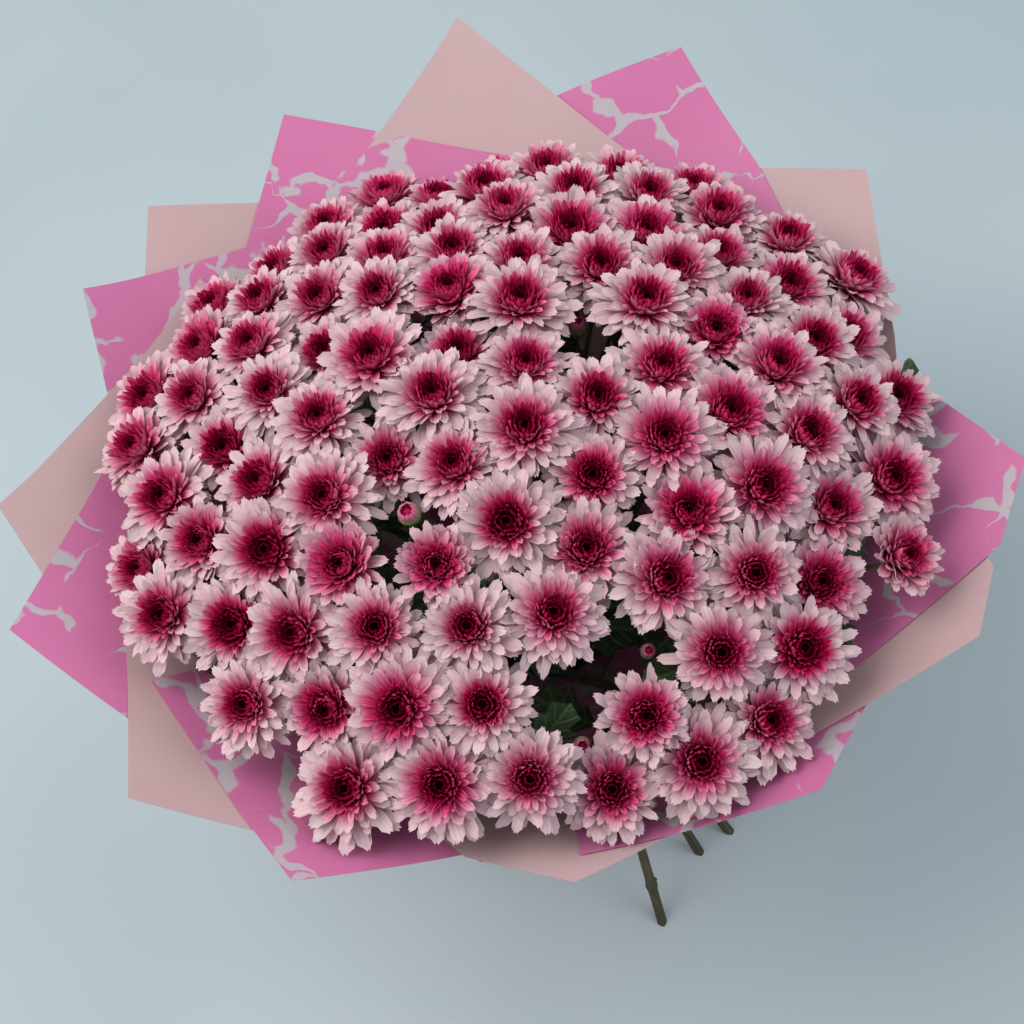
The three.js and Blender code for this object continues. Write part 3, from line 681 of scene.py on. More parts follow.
# The green cup that holds a head's petals, and the core that they grow from.
CUP_SIDES = 12
CUP_PROFILE = [(2.0, -13.0), (3.4, -12.4), (5.6, -9.6), (6.9, -6.2), (7.2, -3.4), (5.0, -2.6)]
CORE_PROFILE = [(6.4, -3.2), (5.4, 0.4), (3.0, 2.3), (0.05, 2.9)]


# Buds: small round ones that look out of the gaps between the heads, green with closed pink
# petals at the top. Each has its angle from the dome's top, its bearing, its height and its size.
BUD_SPOTS = [
    (15.8, -129, 368, 1.15),
    (34.5, -89, 343, 0.9),
    (10.5, 41, 344, 1.0),
    (21.5, -163, 350, 0.85),
    (28.5, -73, 338, 0.8),
]
BUD_CUP = [(0.9, -7.0), (3.4, -6.0), (5.2, -2.8), (5.6, 0.4), (5.2, 3.0), (4.4, 2.8)]
BUD_CORE = [(4.4, 0.5), (3.2, 3.6), (0.05, 4.6)]
BUD_RINGS = [
    petal_ring(13, (4.2, -0.5), 8.6, 72, 138, 1.35, 0.4, NARROW_PETAL),
    petal_ring(11, (3.3, 0.5), 6.6, 72, 130, 1.2, 0.4, NARROW_PETAL),
]
BUD_FLUSH = 0.55
BUD_TURN = 0.6
BUD_STRAY = SimpleNamespace(around=0.3, length=0.1, twist=0.3)


def place_buds():
    buds = []
    for from_top, bearing, height, size in BUD_SPOTS:
        outward = direction(math.radians(from_top), math.radians(bearing))
        spray = max(sprays, key=lambda one: outward @ one.axis)
        axis = unit(outward + BLOOM_TURN * BUD_TURN)
        heart = DOME_CENTRE + outward * height
        buds.append(SimpleNamespace(heart=heart, axis=axis, size=size, spray=spray))
    return buds


def bud_patches(bud, chance):
    side = unit(np.cross(bud.axis, SIDE_HINT))
    axes = (side, np.cross(side, bud.axis), bud.axis)
    cup = turned_patch(np.array(BUD_CUP) * bud.size, CUP_SIDES, bud.heart, axes, 1, (0, 0, 0.5))
    core = turned_patch(np.array(BUD_CORE) * bud.size, CUP_SIDES, bud.heart, axes, 0, (0.8, 0, 1))
    patches = [cup, core]
    for ring in BUD_RINGS:
        count = ring.count
        ones = np.ones(count)
        steps = np.arange(count) + BUD_STRAY.around * chance.uniform(-1, 1, count)
        directions = ring_directions(axes, 2 * np.pi * steps / count)
        stretch = ones + BUD_STRAY.length * chance.uniform(-1, 1, count)
        twist = BUD_STRAY.twist * chance.uniform(-1, 1, count)
        faces = blade_points(ring.shape, ring.length * bud.size * stretch, ring.start * ones,
                             ring.end * ones, ring.half * bud.size * ones, ring.cup * ones,
                             twist, 0 * ones, *np.array(ring.root) * bud.size)
        tones = [(BUD_FLUSH, under, 0.5) for under in (0, 1)]
        places = [blade_place(ring.shape, chance.random()) for _ in faces]
        patches += laid_out(faces, bud.heart, directions, places, tones)
    return patches


buds = place_buds()


# Streaks that run along a blade, for petals, leaves and stalks: a noise stretched along the way
# from root to tip, different on each blade.
streaks, given, result = new_group(
    "streaks along a blade",
    [("Place", "Vector", None), ("Along", "Float", 1.5), ("Across", "Float", 5.0), ("Detail", "Float", 3.0)],
    [("Streak", "Float")],
)
split = parts_of(streaks, given["Place"])
stretched = add_node(streaks, "CombineXYZ", {}, {
    0: calculate(streaks, "MULTIPLY", split[0], given["Along"]),
    1: calculate(streaks, "MULTIPLY", split[1], given["Across"]),
    2: calculate(streaks, "MULTIPLY", split[2], 91.0),
})
streak = noise_in(streaks, stretched.outputs[0], 1.0, given["Detail"])
streaks.links.new(streak, result["Streak"])


def streaks_in(tree, place, along, across, detail=3.0):
    sockets = {"Place": place, "Along": along, "Across": across, "Detail": detail}
    return add_node(tree, "Group", {"node_tree": streaks}, sockets).outputs["Streak"]


# Petal skin: thin, matt and velvety, crimson at the root and nearly white at the tip, with fine
# veins. Its outer face is paler than its inner one.
petal_skin, tree = new_material("petal skin")
place = attribute(tree, "place")
across = parts_of(tree, place)[1]
redness, back_face, level = parts_of(tree, attribute(tree, "tone"))
streak = streaks_in(tree, place, 1.6, 3.6)
vein = streaks_in(tree, place, 0.8, 11.0, 2.0)
paler = calculate(tree, "MULTIPLY_ADD", back_face, -0.38, 1.0)
flush = calculate(tree, "MULTIPLY", redness, paler)
streaked = calculate(tree, "MULTIPLY_ADD", calculate(tree, "SUBTRACT", streak, 0.5), 1.7, 1.0)
flush = calculate(tree, "MULTIPLY", flush, streaked)
# Petal edges are painted paler, most in the outer rings and not at all at the heart: partly the pale lines
# seen between crimson petals, partly painted light against the shade between them.
edge = calculate(tree, "POWER", calculate(tree, "ABSOLUTE", across), 3.0)
pale_rim_and_painted_light = calculate(tree, "MULTIPLY", edge, calculate(tree, "MULTIPLY_ADD", level, -0.50, 0.48))
flush = calculate(tree, "MULTIPLY", flush, calculate(tree, "SUBTRACT", 1.0, pale_rim_and_painted_light))
blush = calculate(tree, "MULTIPLY", calculate(tree, "SUBTRACT", vein, 0.36), 0.8)
flush = calculate(tree, "ADD", flush, calculate(tree, "MAXIMUM", blush, 0.0))
# Past crimson the ramp runs on to near black: the heart's deep crimson with painted shade of the hollow
# added.
petal_colour = colour_ramp(tree, calculate(tree, "DIVIDE", flush, 1.4), [
    (0.0, "e6d4d1"),
    (0.12, "e5b7bf"),
    (0.28, "e58ba8"),
    (0.46, "e34a85"),
    (0.64, "d91a62"),
    (0.80, "c20848"),
    (1.0, "5a001b"),
])
ribs = calculate(tree, "ADD", vein, calculate(tree, "MULTIPLY", streak, 0.6))
finish_material(tree, {
    "Base Color": petal_colour,
    "Roughness": calculate(tree, "MULTIPLY_ADD", streak, 0.2, 0.5),
    "Normal": relief_of(tree, 0.35, 0.0004, ribs),
    "Specular IOR Level": 0.1,
})

# The cup's skin: small grey-green scales.
cup_skin, tree = new_material("green cup")
streak = streaks_in(tree, attribute(tree, "place"), 2.0, 9.0)
cup_colour = colour_ramp(tree, streak, [(0.3, "4c662c"), (0.7, "869c52")])
cup_relief = relief_of(tree, 0.5, 0.0006, streak)
finish_material(tree, {"Base Color": cup_colour, "Roughness": 0.65, "Normal": cup_relief})

BLOOM_SEED = 71
for number, spray in enumerate(sprays, 1):
    patches = []
    chance = np.random.default_rng(BLOOM_SEED + number)
    for bloom in spray.blooms:
        patches += bloom_patches(bloom, chance)
    for bud in buds:
        if bud.spray is spray:
            patches += bud_patches(bud, chance)
    name = f"spray_{number:02d}"
    fuse(name + "_heads", patches, [], [petal_skin, cup_skin], [name + "_blooms"])


# Round lengths, such as stalks, follow a path of points. They are ribbed a little, and swell
# where a leaf has grown.
RIB_COUNT = 5
RIB_DEPTH = 0.05
RIB_SIDE = [1, 0.2, 0]


def fine_path(corners, step):
    """Evenly spaced points along straight runs between corners, and how far along each is."""
    runs = np.linalg.norm(np.diff(corners, axis=0), axis=1)
    along = np.concatenate([[0], np.cumsum(runs)])
    count = max(int(along[-1] / step), 3)
    stations = np.unique(np.concatenate([np.linspace(0, along[-1], count), along]))
    points = np.stack([np.interp(stations, along, corners[:, i]) for i in range(3)], -1)
    return points, stations


def tube(points, radii, sides, seed, tone):
    tangents = unit(np.gradient(points, axis=0))
    side = unit(np.cross(RIB_SIDE, tangents))
    other = np.cross(tangents, side)
    turn = np.linspace(0, 2 * np.pi, sides + 1)
    ribbed = 1 + RIB_DEPTH * np.cos(RIB_COUNT * turn)
    ring = np.cos(turn)[:, None] * side[:, None] + np.sin(turn)[:, None] * other[:, None]
    surface = points[:, None] + (radii[:, None] * ribbed)[..., None] * ring
    along = np.concatenate([[0], np.cumsum(np.linalg.norm(np.diff(points, axis=0), axis=1))])
    place = triple(along[:, None] / 10, np.cos(turn), seed)
    tones = triple(np.broadcast_to(tone, along.shape)[:, None], 0, seed)
    return patch(surface[None], place, tones, turned=True)


def foot_lid(stalk):
    """The cut face at the foot of a stalk."""
    points = stalk.points[0, 0, :-1][::-1]
    return SimpleNamespace(points=points, place=(0, 0, 0.5), tone=(0, 1, 0), finish=stalk.finish)


# The stalks: each spray has one woody stalk, cut level at the foot, that leans through the tie to
# a fork under its heads. A thinner branch rises from the fork to each head. Nodes are the swellings
# where leaves have grown, stubs are what is left of them, and age goes from green to brown.
TIE_HEIGHT = 150
FORK_RADIUS = 263
BRANCH_DROP = 13
STALK_SIDES = 10
BRANCH_SIDES = 7
STALK_RADII = (3.4, 3.0, 2.5, 1.3)
BRANCH_RADII = (1.5, 1.3)
CUP_FOOT = 12.6
NODE_SPACING = 52
NODE_SWELL = 0.30
NODE_LENGTH = 2.6
NODE_SPACING_SPREAD = 0.2
NODE_FIRST = (0.35, 0.8)
NODE_FREE_TOP = 12
NODE_STATIONS = np.array([-3.5, -1.5, 0, 1.5, 3.5])
STUB_HEIGHTS = [(12, 132), (175, 240)]
STUB_REACH = np.array([0.2, 1.1, 1.9, 2.0])
STUB_RADII = np.array([0.62, 0.5, 0.4, 0.05])
STUB_LEAN = 1.3
STUB_SIDES = 6
STUB_AGE = 0.8
AGE_PLACES = (0, 60, 260)
AGES = (1.0, 0.75, 0.3)
BRANCH_AGE = 0.15
BRANCH_BOW = 5.0
BRANCH_POINTS = 7
PATH_STEP = 9
BUD_DROP = 6.6
BUD_FORK = 0.55
BUD_ELBOW = 0.35
BUD_STALK_RADII = (1.1, 0.9)
BUD_STALK_POINTS = 8


def node_places(length, chance):
    """How far up a stalk its leaves have grown."""
    spacing = NODE_SPACING * (1 + NODE_SPACING_SPREAD * chance.uniform(-1, 1))
    first = spacing * chance.uniform(*NODE_FIRST)
    return np.arange(first, length - NODE_FREE_TOP, spacing)


def with_nodes(points, stations, nodes):
    """The same path with extra points round each swelling, so that its shape shows."""
    extra = (nodes[:, None] + NODE_STATIONS).ravel()
    dense = np.unique(np.concatenate([stations, extra[(extra > 0) & (extra < stations[-1])]]))
    return np.stack([np.interp(dense, stations, points[:, i]) for i in range(3)], -1), dense


def spray_lines(spray):
    """The foot, waist and fork of a spray's stalk, and its heads with the nearest one first."""
    fork = DOME_CENTRE + spray.axis * FORK_RADIUS
    waist_bearing = spray.bearing - math.acos(spray.waist / math.hypot(fork[0], fork[1]))
    outward = np.array([math.cos(waist_bearing), math.sin(waist_bearing), 0])
    sideways = np.array([math.sin(waist_bearing), -math.cos(waist_bearing), 0])
    waist = outward * spray.waist + [0, 0, TIE_HEIGHT]
    foot = outward * spray.waist + sideways * math.sqrt(spray.foot**2 - spray.waist**2)
    heads = sorted(spray.blooms, key=lambda bloom: -(bloom.outward @ spray.axis))
    return foot, waist, fork, heads


def stub_patch(point, way, chance):
    """The short stub that a leaf left where it was stripped from a stalk."""
    radius = STALK_RADII[1]
    lean = unit(way + STUB_LEAN * unit(np.cross(way, chance.normal(size=3))))
    points = point + radius * STUB_REACH[:, None] * lean
    return tube(points, radius * STUB_RADII, STUB_SIDES, chance.random(), STUB_AGE)


def bud_stalk(bud, branches, chance):
    """The thin stalk of a bud, which leaves the nearest branch low down and bends out to it."""
    end = bud.heart - bud.axis * BUD_DROP * bud.size
    branch = min(branches, key=lambda one: np.linalg.norm(one.cup - end))
    start = branch.bottom + (branch.cup - branch.bottom) * BUD_FORK
    share = np.linspace(0, 1, BUD_STALK_POINTS)[:, None]
    elbow = end - bud.axis * BUD_ELBOW * np.linalg.norm(end - start)
    line = (1 - share) ** 2 * start + 2 * share * (1 - share) * elbow + share**2 * end
    radii = np.linspace(*BUD_STALK_RADII, BUD_STALK_POINTS)
    return tube(line, radii, BRANCH_SIDES, chance.random(), BRANCH_AGE)


def stalk_patches(spray, chance):
    """The stalk and branches of a spray, as patches and lids, and each head's branch."""
    foot, waist, fork, heads = spray_lines(spray)
    cups = [head.heart - head.axis * CUP_FOOT for head in heads]
    corners = np.array([foot, waist, fork, cups[0]])
    points, stations = fine_path(corners, PATH_STEP)
    corner_stations = np.cumsum([0, *np.linalg.norm(np.diff(corners, axis=0), axis=1)])
    nodes = node_places(stations[-1], chance)
    points, stations = with_nodes(points, stations, nodes)
    radii = np.interp(stations, corner_stations, STALK_RADII)
    for node in nodes:
        radii = radii * (1 + NODE_SWELL * np.exp(-(((stations - node) / NODE_LENGTH) ** 2)))
    age = np.interp(stations, AGE_PLACES, AGES)
    stalk = tube(points, radii, STALK_SIDES, chance.random(), age)
    tangent = unit(points[1] - points[0])
    base = stalk.points[0, 0]
    stalk.points[0, 0] = base - tangent * (base[:, 2:] / tangent[2])
    patches = [stalk]
    lids = [foot_lid(stalk)]
    for node in nodes:
        at = np.array([np.interp(node, stations, points[:, i]) for i in range(3)])
        if any(low < at[2] < high for low, high in STUB_HEIGHTS):
            patches.append(stub_patch(at, tangent, chance))
    branches = []
    down = unit(waist - fork)
    for i, (head, cup) in enumerate(zip(heads, cups)):
        bottom = fork + down * BRANCH_DROP * i
        way = unit(cup - bottom)
        if i:
            bow = unit(np.cross(way, chance.normal(size=3))) * BRANCH_BOW * chance.uniform(0.3, 1)
            share = np.linspace(0, 1, BRANCH_POINTS)[:, None]
            line = bottom + (cup - bottom) * share + bow * np.sin(np.pi * share)
            narrow = np.interp(share[:, 0], [0, 1], BRANCH_RADII)
            patches.append(tube(line, narrow, BRANCH_SIDES, chance.random(), BRANCH_AGE))
        branches.append(SimpleNamespace(head=head, cup=cup, bottom=bottom, way=way))
    for bud in buds:
        if bud.spray is spray:
            patches.append(bud_stalk(bud, branches, chance))
    return patches, lids, branches


# The leaves: dark green, lobed, on short stems of their own, below the heads. The first ones stand
# where the part has them, the rest are set round the branches by a seeded rule.
LEAF = SimpleNamespace(
    rows=np.array([0, 4, 6, 8, 9, 11, 13, 14, 16, 17, 19, 20, 22, 24]) / 24,
    columns=np.array([-1, -0.62, -0.3, 0, 0.3, 0.62, 1.0]),
    widths=np.array([0.05, 0.07, 0.30, 0.66, 0.60, 0.40, 0.80, 1.0, 0.86, 0.52, 0.62, 0.66, 0.40, 0.04]),
    section=np.array([0.55, 0.50, 0.28, 0, 0.28, 0.50, 0.55]),
    fullness=np.array([0] + [1] * 12 + [0]),
    thickness=0.5,
)
LEAF_LOBES = np.array([0, 0, 0.4, 1, 0.5, 0, 0.6, 1, 0.5, 0, 0.6, 0.8, 0.3, 0])
LEAF.pull = -0.10 * LEAF_LOBES[:, None] * np.abs(LEAF.columns) ** 1.5
LEAF_LENGTH = 46
LEAF_HALF_WIDTH = 15
LEAF_DROP = 42
LEAF_LEAN = math.radians(34)
LEAVES_ON_SPRAY = 2
LEAF_TO_PAPER = 4
LEAF_START = 0.15
LEAF_WAVE = 1.6
FREE_LEAF_DROP = (24, 40)
FREE_LEAF_LEAN = (58, 84)
FREE_LEAF_SIZE = (0.7, 0.95)
DEEP_LEAF_DROP = (50, 85)
DEEP_LEAF_SHARE = 0.9
DEEP_LEAF_SIZE = (1.0, 1.25)
LEAF_TIPS = [(38.8, 1.8, 377)]
LEAF_TIP_DROP = 7


def turned_about(vector, axis, angle):
    parallel = axis * (axis @ vector)
    return parallel + (vector - parallel) * math.cos(angle) + np.cross(axis, vector) * math.sin(angle)


def leaf_patches(root, along, across, size, chance):
    """Both faces of one leaf, which droops a little and waves along its edges."""
    up = unit(np.cross(along, across))
    up = up if up[2] > 0 else -up
    across = np.cross(up, along)
    one = np.ones(1)
    droop = chance.uniform(0.2, 0.6)
    faces = blade_points(LEAF, one * LEAF_LENGTH * size, one * LEAF_START, one * (LEAF_START - droop),
                         one * LEAF_HALF_WIDTH * size, one * chance.uniform(0.1, 0.5),
                         one * chance.uniform(-0.4, 0.4), one * chance.uniform(-0.1, 0.1), 0, 0)
    rows = LEAF.rows[None, :, None]
    phase = chance.uniform(0, 6.28)
    edge = LEAF.columns[None, None, :] ** 2 * rows
    for points in faces:
        points[..., 2] += LEAF_WAVE * edge * np.sin(9 * rows + phase + 2 * np.sign(LEAF.columns))
    place = triple(rows * size, (LEAF.columns * LEAF.widths[:, None])[None] * 0.33, chance.random())
    tones = [triple(rows, under, np.abs(LEAF.columns)[None, None, :]) for under in (0, 1)]
    directions = (along[None], across[None], up[None])
    return laid_out(faces, root, directions, [place] * 2, tones, LEAF_TO_PAPER, finish=1)


def spray_leaves(spray, branches, chance):
    """The part's own leaves, a free leaf and a deeper one on each branch, and any single tip."""
    patches = []
    for i, branch in enumerate(branches):
        if i >= len(branches) - LEAVES_ON_SPRAY:
            across = unit(np.cross(branch.head.axis, spray.axis))
            along = turned_about(branch.way, across, -LEAF_LEAN)
            root = branch.cup - branch.way * LEAF_DROP
            patches += leaf_patches(root, along, across, 1.0, chance)
        turn = chance.uniform(0, 2 * math.pi)
        drop = chance.uniform(*FREE_LEAF_DROP)
        side = turned_about(unit(np.cross(branch.way, [0.2, 0.9, 0.1])), branch.way, turn)
        lean = math.radians(chance.uniform(*FREE_LEAF_LEAN))
        along = unit(branch.way * math.cos(lean) + side * math.sin(lean))
        across = unit(np.cross(branch.way, along))
        root = branch.cup - branch.way * drop
        patches += leaf_patches(root, along, across, chance.uniform(*FREE_LEAF_SIZE), chance)
        height = np.linalg.norm(branch.cup - branch.bottom)
        root = branch.cup - branch.way * min(chance.uniform(*DEEP_LEAF_DROP), DEEP_LEAF_SHARE * height)
        along = turned_about(along, branch.way, chance.uniform(1.5, 4.5))
        across = unit(np.cross(branch.way, along))
        patches += leaf_patches(root, along, across, chance.uniform(*DEEP_LEAF_SIZE), chance)
    for from_top, bearing, height in LEAF_TIPS:
        outward = direction(math.radians(from_top), math.radians(bearing))
        if max(sprays, key=lambda one: outward @ one.axis) is spray:
            tip = DOME_CENTRE + outward * height
            branch = min(branches, key=lambda one: np.linalg.norm(one.cup - tip))
            root = branch.cup - branch.way * LEAF_TIP_DROP
            along = unit(tip - root)
            across = unit(np.cross(branch.way, along))
            size = np.linalg.norm(tip - root) / LEAF_LENGTH
            patches += leaf_patches(root, along, across, size, chance)
    return patches


# Stalk skin: green and smooth high up, brown and rough towards the cut foot, with fine ridges.
# The cut face itself is pale.
stalk_skin, tree = new_material("stalk skin")
place = attribute(tree, "place")
given_age, cut_face, _ = parts_of(tree, attribute(tree, "tone"))
streak = streaks_in(tree, place, 0.9, 4.5, 4.0)
fine_streak = streaks_in(tree, place, 5.0, 9.0, 3.0)
age = calculate(tree, "MULTIPLY_ADD", calculate(tree, "SUBTRACT", streak, 0.5), 0.9, given_age)
bark = colour_ramp(tree, age, [(0.1, "65783a"), (0.45, "5f6a38"), (0.75, "5c5736"), (1.0, "4b3d28")])
speckled = mixed(tree, calculate(tree, "MULTIPLY", fine_streak, 0.45), bark, paint("2f2f1c"))
stalk_colour = mixed(tree, cut_face, speckled, paint("a39a6c"))
stalk_relief = relief_of(tree, 0.6, 0.0007, fine_streak)
finish_material(tree, {"Base Color": stalk_colour, "Roughness": 0.62, "Normal": stalk_relief})

# Leaf skin: dark green above with paler veins, grey-green below.
leaf_skin, tree = new_material("leaf skin")
place = attribute(tree, "place")
along, across, _ = parts_of(tree, place)
back_face = parts_of(tree, attribute(tree, "tone"))[1]
outwards = calculate(tree, "ABSOLUTE", across)
slant = calculate(tree, "SUBTRACT", along, calculate(tree, "MULTIPLY", outwards, 0.9))
side_veins = calculate(tree, "ABSOLUTE", calculate(tree, "SINE", calculate(tree, "MULTIPLY", slant, 19.0)))
midrib = calculate(tree, "MULTIPLY", outwards, 26.0)
vein_distance = calculate(tree, "MINIMUM", calculate(tree, "MULTIPLY", side_veins, 2.2), midrib)
on_vein = calculate(tree, "SUBTRACT", 1.0, calculate(tree, "MINIMUM", vein_distance, 1.0))
blotch = noise_in(tree, place, 9.0, 4.0)
blade_green = colour_ramp(tree, blotch, [(0.3, "24381f"), (0.7, "3c5630")])
veined = mixed(tree, calculate(tree, "MULTIPLY", on_vein, 0.5), blade_green, paint("6f8a56"))
leaf_colour = mixed(tree, calculate(tree, "MULTIPLY", back_face, 0.6), veined, paint("6c7d5a"))
grooves = calculate(tree, "SUBTRACT", calculate(tree, "MULTIPLY", blotch, 0.5), on_vein)
leaf_relief = relief_of(tree, 0.5, 0.0008, grooves)
finish_material(tree, {"Base Color": leaf_colour, "Roughness": 0.55, "Normal": leaf_relief})

STALK_SEED = 511
for number, spray in enumerate(sprays, 1):
    chance = np.random.default_rng(STALK_SEED + number)
    patches, lids, branches = stalk_patches(spray, chance)
    patches += spray_leaves(spray, branches, chance)
    name = f"spray_{number:02d}"
    fuse(name + "_green", patches, lids, [stalk_skin, leaf_skin], [name + "_stem"])


# The paper: fourteen sheets, pink and pale in turn, each wrapped in its place on the flare. Every
# sheet lies a little further out than the one before it. Corners are bearing and reach.
PAPER_THICKNESS = 0.3
PAPER_STEP = 0.62
FACET = 360 / 28
SHEET_TURN = 360 / 14
FIRST_SHEET_BEARING = 100
LAST_SHEET_DEPTH = 4.6 * PAPER_STEP
COLUMN_TURN = 1.5
NECK_ROUNDING = 9.0
FLARE_RUN, FLARE_RISE = PAPER_PROFILE[4] - PAPER_PROFILE[3]
EDGE_SLOPE = FLARE_RISE / FLARE_RUN
SHEETS = [
    [(134, 240), (109, 336), (68, 251)],
    [(108, 272), (87, 351), (44, 241)],
    [(82, 286), (62, 342), (47, 278), (16, 225)],
    [(55, 268), (34, 304), (12, 244), (-10, 225)],
    [(26, 228), (-14, 288), (-25, 277), (-60, 220)],
    [(2, 238), (-28, 276), (-38, 282), (-66, 234)],
    [(-24, 247), (-64, 271), (-92, 248)],
    [(-50, 232), (-78, 246), (-93, 266), (-106, 245), (-116, 218)],
    [(-76, 229), (-123, 286), (-134, 262), (-158, 245)],
    [(-102, 232), (-120, 255), (-143, 296), (-176, 243)],
    [(-128, 258), (-170, 306), (-206, 250)],
    [(-154, 262), (-186, 308), (-191, 292), (-228, 267)],
    [(-178, 229), (-217, 313), (-254, 254)],
    [(-202, 249), (-231, 326), (-266, 258)],
]
CURL_STARTS = 262
CURL_HEIGHT = 5
CURL_SPAN = 60
SHEET_SEED = 900
PLACE_UNIT = 100
ROW_SHARES = [
    np.array([0, 0.3, 0.6, 0.85]),
    np.array([0, 0.5]),
    np.array([0, 0.06, 0.2, 0.4, 0.6, 0.8, 0.94]),
    np.concatenate([[0, 0.1, 0.25, 0.4, 0.55], np.linspace(0.65, 1, 8)]),
]


def profile_at(depth):
    """The flare's profile moved outwards by a depth, with its corners mitred."""
    runs = np.diff(PAPER_PROFILE, axis=0)
    normals = np.stack([runs[:, 1], -runs[:, 0]], -1) / np.linalg.norm(runs, axis=1)[:, None]
    before = np.concatenate([normals[:1], normals])
    after = np.concatenate([normals, normals[-1:]])
    both = before + after
    return PAPER_PROFILE + depth * both / ((both**2).sum(1) / 2)[:, None]


def reach_at(corners, bearing):
    """How far the straight edges between a sheet's corners reach at a bearing, in plan."""
    for (start_bearing, start), (end_bearing, end) in zip(corners, corners[1:]):
        if start_bearing >= bearing >= end_bearing:
            ahead = math.radians(start_bearing - bearing)
            behind = math.radians(end_bearing - bearing)
            cross = start * math.sin(ahead) - end * math.sin(behind)
            return start * end * math.sin(ahead - behind) / cross
    return corners[-1][1]


def rounded_profile(corners):
    """Points along a profile at set shares of each run, with its bends drawn smooth."""
    runs = zip(corners, corners[1:], ROW_SHARES)
    points = np.concatenate([start + (end - start) * shares[:, None] for start, end, shares in runs])
    for bend in corners[1:-1]:
        near = np.clip(1 - np.linalg.norm(points - bend, axis=1) / NECK_ROUNDING, 0, 1)
        padded = np.concatenate([points[:1], points, points[-1:]])
        middle = (padded[:-2] + padded[2:]) / 2
        points = points + (middle - points) * near[:, None]
    return points


def sheet_patches(corners, order):
    """Both faces and the four edges of one sheet."""
    chance = np.random.default_rng(SHEET_SEED + order)
    first, last = corners[0][0], corners[-1][0]
    bearings = np.linspace(first, last, round((first - last) / COLUMN_TURN) + 1)
    for bearing, _ in corners[1:-1]:
        bearings[np.abs(bearings - bearing).argmin()] = bearing
    middle = FIRST_SHEET_BEARING - order * SHEET_TURN
    curl = chance.uniform(-1, 1)
    faces = []
    for thickness in (0, PAPER_THICKNESS):
        columns = []
        for bearing in bearings:
            depth = PAPER_STEP * (bearing - middle) / FACET
            if order == len(SHEETS) - 1:
                depth = LAST_SHEET_DEPTH
            profile = profile_at(depth + thickness)
            edge = reach_at(corners, bearing)
            profile[4] = [edge, profile[3, 1] + EDGE_SLOPE * (edge - profile[3, 0])]
            radius, height = rounded_profile(profile).T
            angle = math.radians(bearing)
            columns.append(np.stack([radius * math.cos(angle), radius * math.sin(angle), height], -1))
        surface = np.array(columns).transpose(1, 0, 2)
        surface[..., 2] += paper_wave(surface[..., 0], surface[..., 1])
        beyond = np.clip((np.hypot(surface[..., 0], surface[..., 1]) - CURL_STARTS) / CURL_SPAN, 0, 2)
        surface[..., 2] += curl * CURL_HEIGHT * beyond**2
        faces.append(surface)
    radius = np.hypot(faces[0][..., 0], faces[0][..., 1])
    slant = math.cos(math.atan(EDGE_SLOPE))
    angle = np.radians(bearings)[None, :] * slant
    flat_x = radius / slant * np.cos(angle) / PLACE_UNIT
    flat_y = radius / slant * np.sin(angle) / PLACE_UNIT
    spin = chance.uniform(0, 6.28)
    turned_x = flat_x * math.cos(spin) - flat_y * math.sin(spin)
    turned_y = flat_x * math.sin(spin) + flat_y * math.cos(spin)
    place = triple(turned_x, turned_y, order * 1.7)
    inner, outer = faces
    tone = (0, 0, order / len(SHEETS))
    patches = [
        patch(inner[None], place, tone, turned=True),
        patch(outer[None], place, (0, 1, order / len(SHEETS))),
    ]
    for row, flipped in ((0, False), (-1, True)):
        edge = np.stack([inner[row], outer[row]])
        patches.append(patch(edge[None], place[row], tone, turned=flipped))
    for column, flipped in ((0, True), (-1, False)):
        edge = np.stack([inner[:, column], outer[:, column]])
        patches.append(patch(edge[None], place[:, column], tone, turned=flipped))
    return patches


# Both papers are satin wrapping film. The pale one is plain, the pink one is printed with a loose
# net of pale marble veins, which swell into blotches and die out again.
VEIN_REACH = (1.5, 2.2, 1.0)
VEIN_BEND = (0.55, 0.55, 0.55)
MIDDLE_GREY = (0.5, 0.5, 0.5)


def calculate_vector(tree, operation, first, second):
    return add_node(tree, "VectorMath", {"operation": operation}, {0: first, 1: second}).outputs[0]


def marble_veins(tree, place):
    """Where the film is veined: 1 in the middle of a vein, 0 beside it."""
    bend = noise_in(tree, place, 2.2, 3.0, "Color")
    centred = calculate_vector(tree, "SUBTRACT", bend, MIDDLE_GREY)
    shift = calculate_vector(tree, "MULTIPLY", centred, VEIN_BEND)
    warped = calculate_vector(tree, "ADD", place, shift)
    net = calculate_vector(tree, "MULTIPLY", warped, VEIN_REACH)
    edge = {"feature": "DISTANCE_TO_EDGE"}
    distance = add_node(tree, "TexVoronoi", edge, {"Vector": net, "Scale": 1.0}).outputs["Distance"]
    swell = noise_in(tree, place, 3.1, 2.0)
    width = calculate(tree, "MULTIPLY_ADD", swell, 0.30, -0.118)
    width = calculate(tree, "MINIMUM", width, 0.062)
    vein = calculate(tree, "MULTIPLY", calculate(tree, "SUBTRACT", width, distance), 60.0)
    return add_node(tree, "Clamp", {}, {0: vein}).outputs[0]


def paper_material(name, veined, light, dark):
    material, tree = new_material(name)
    place = attribute(tree, "place")
    cloud = noise_in(tree, place, 1.4, 3.0)
    grain = noise_in(tree, place, 60.0, 3.0)
    colour = mixed(tree, cloud, paint(dark), paint(light))
    if veined:
        vein = calculate(tree, "MULTIPLY", marble_veins(tree, place), 0.92)
        colour = mixed(tree, vein, colour, paint("bfb5b9"))
    finish_material(tree, {
        "Base Color": colour,
        "Roughness": 0.42,
        "Normal": relief_of(tree, 0.15, 0.0004, grain),
        "Specular IOR Level": 0.4,
        "Sheen Weight": 0.1,
    })
    return material


pink_film = paper_material("pink marbled film", True, "d877a8", "cb6a9a")
pale_film = paper_material("pale film", False, "ceaaab", "c59fa0")

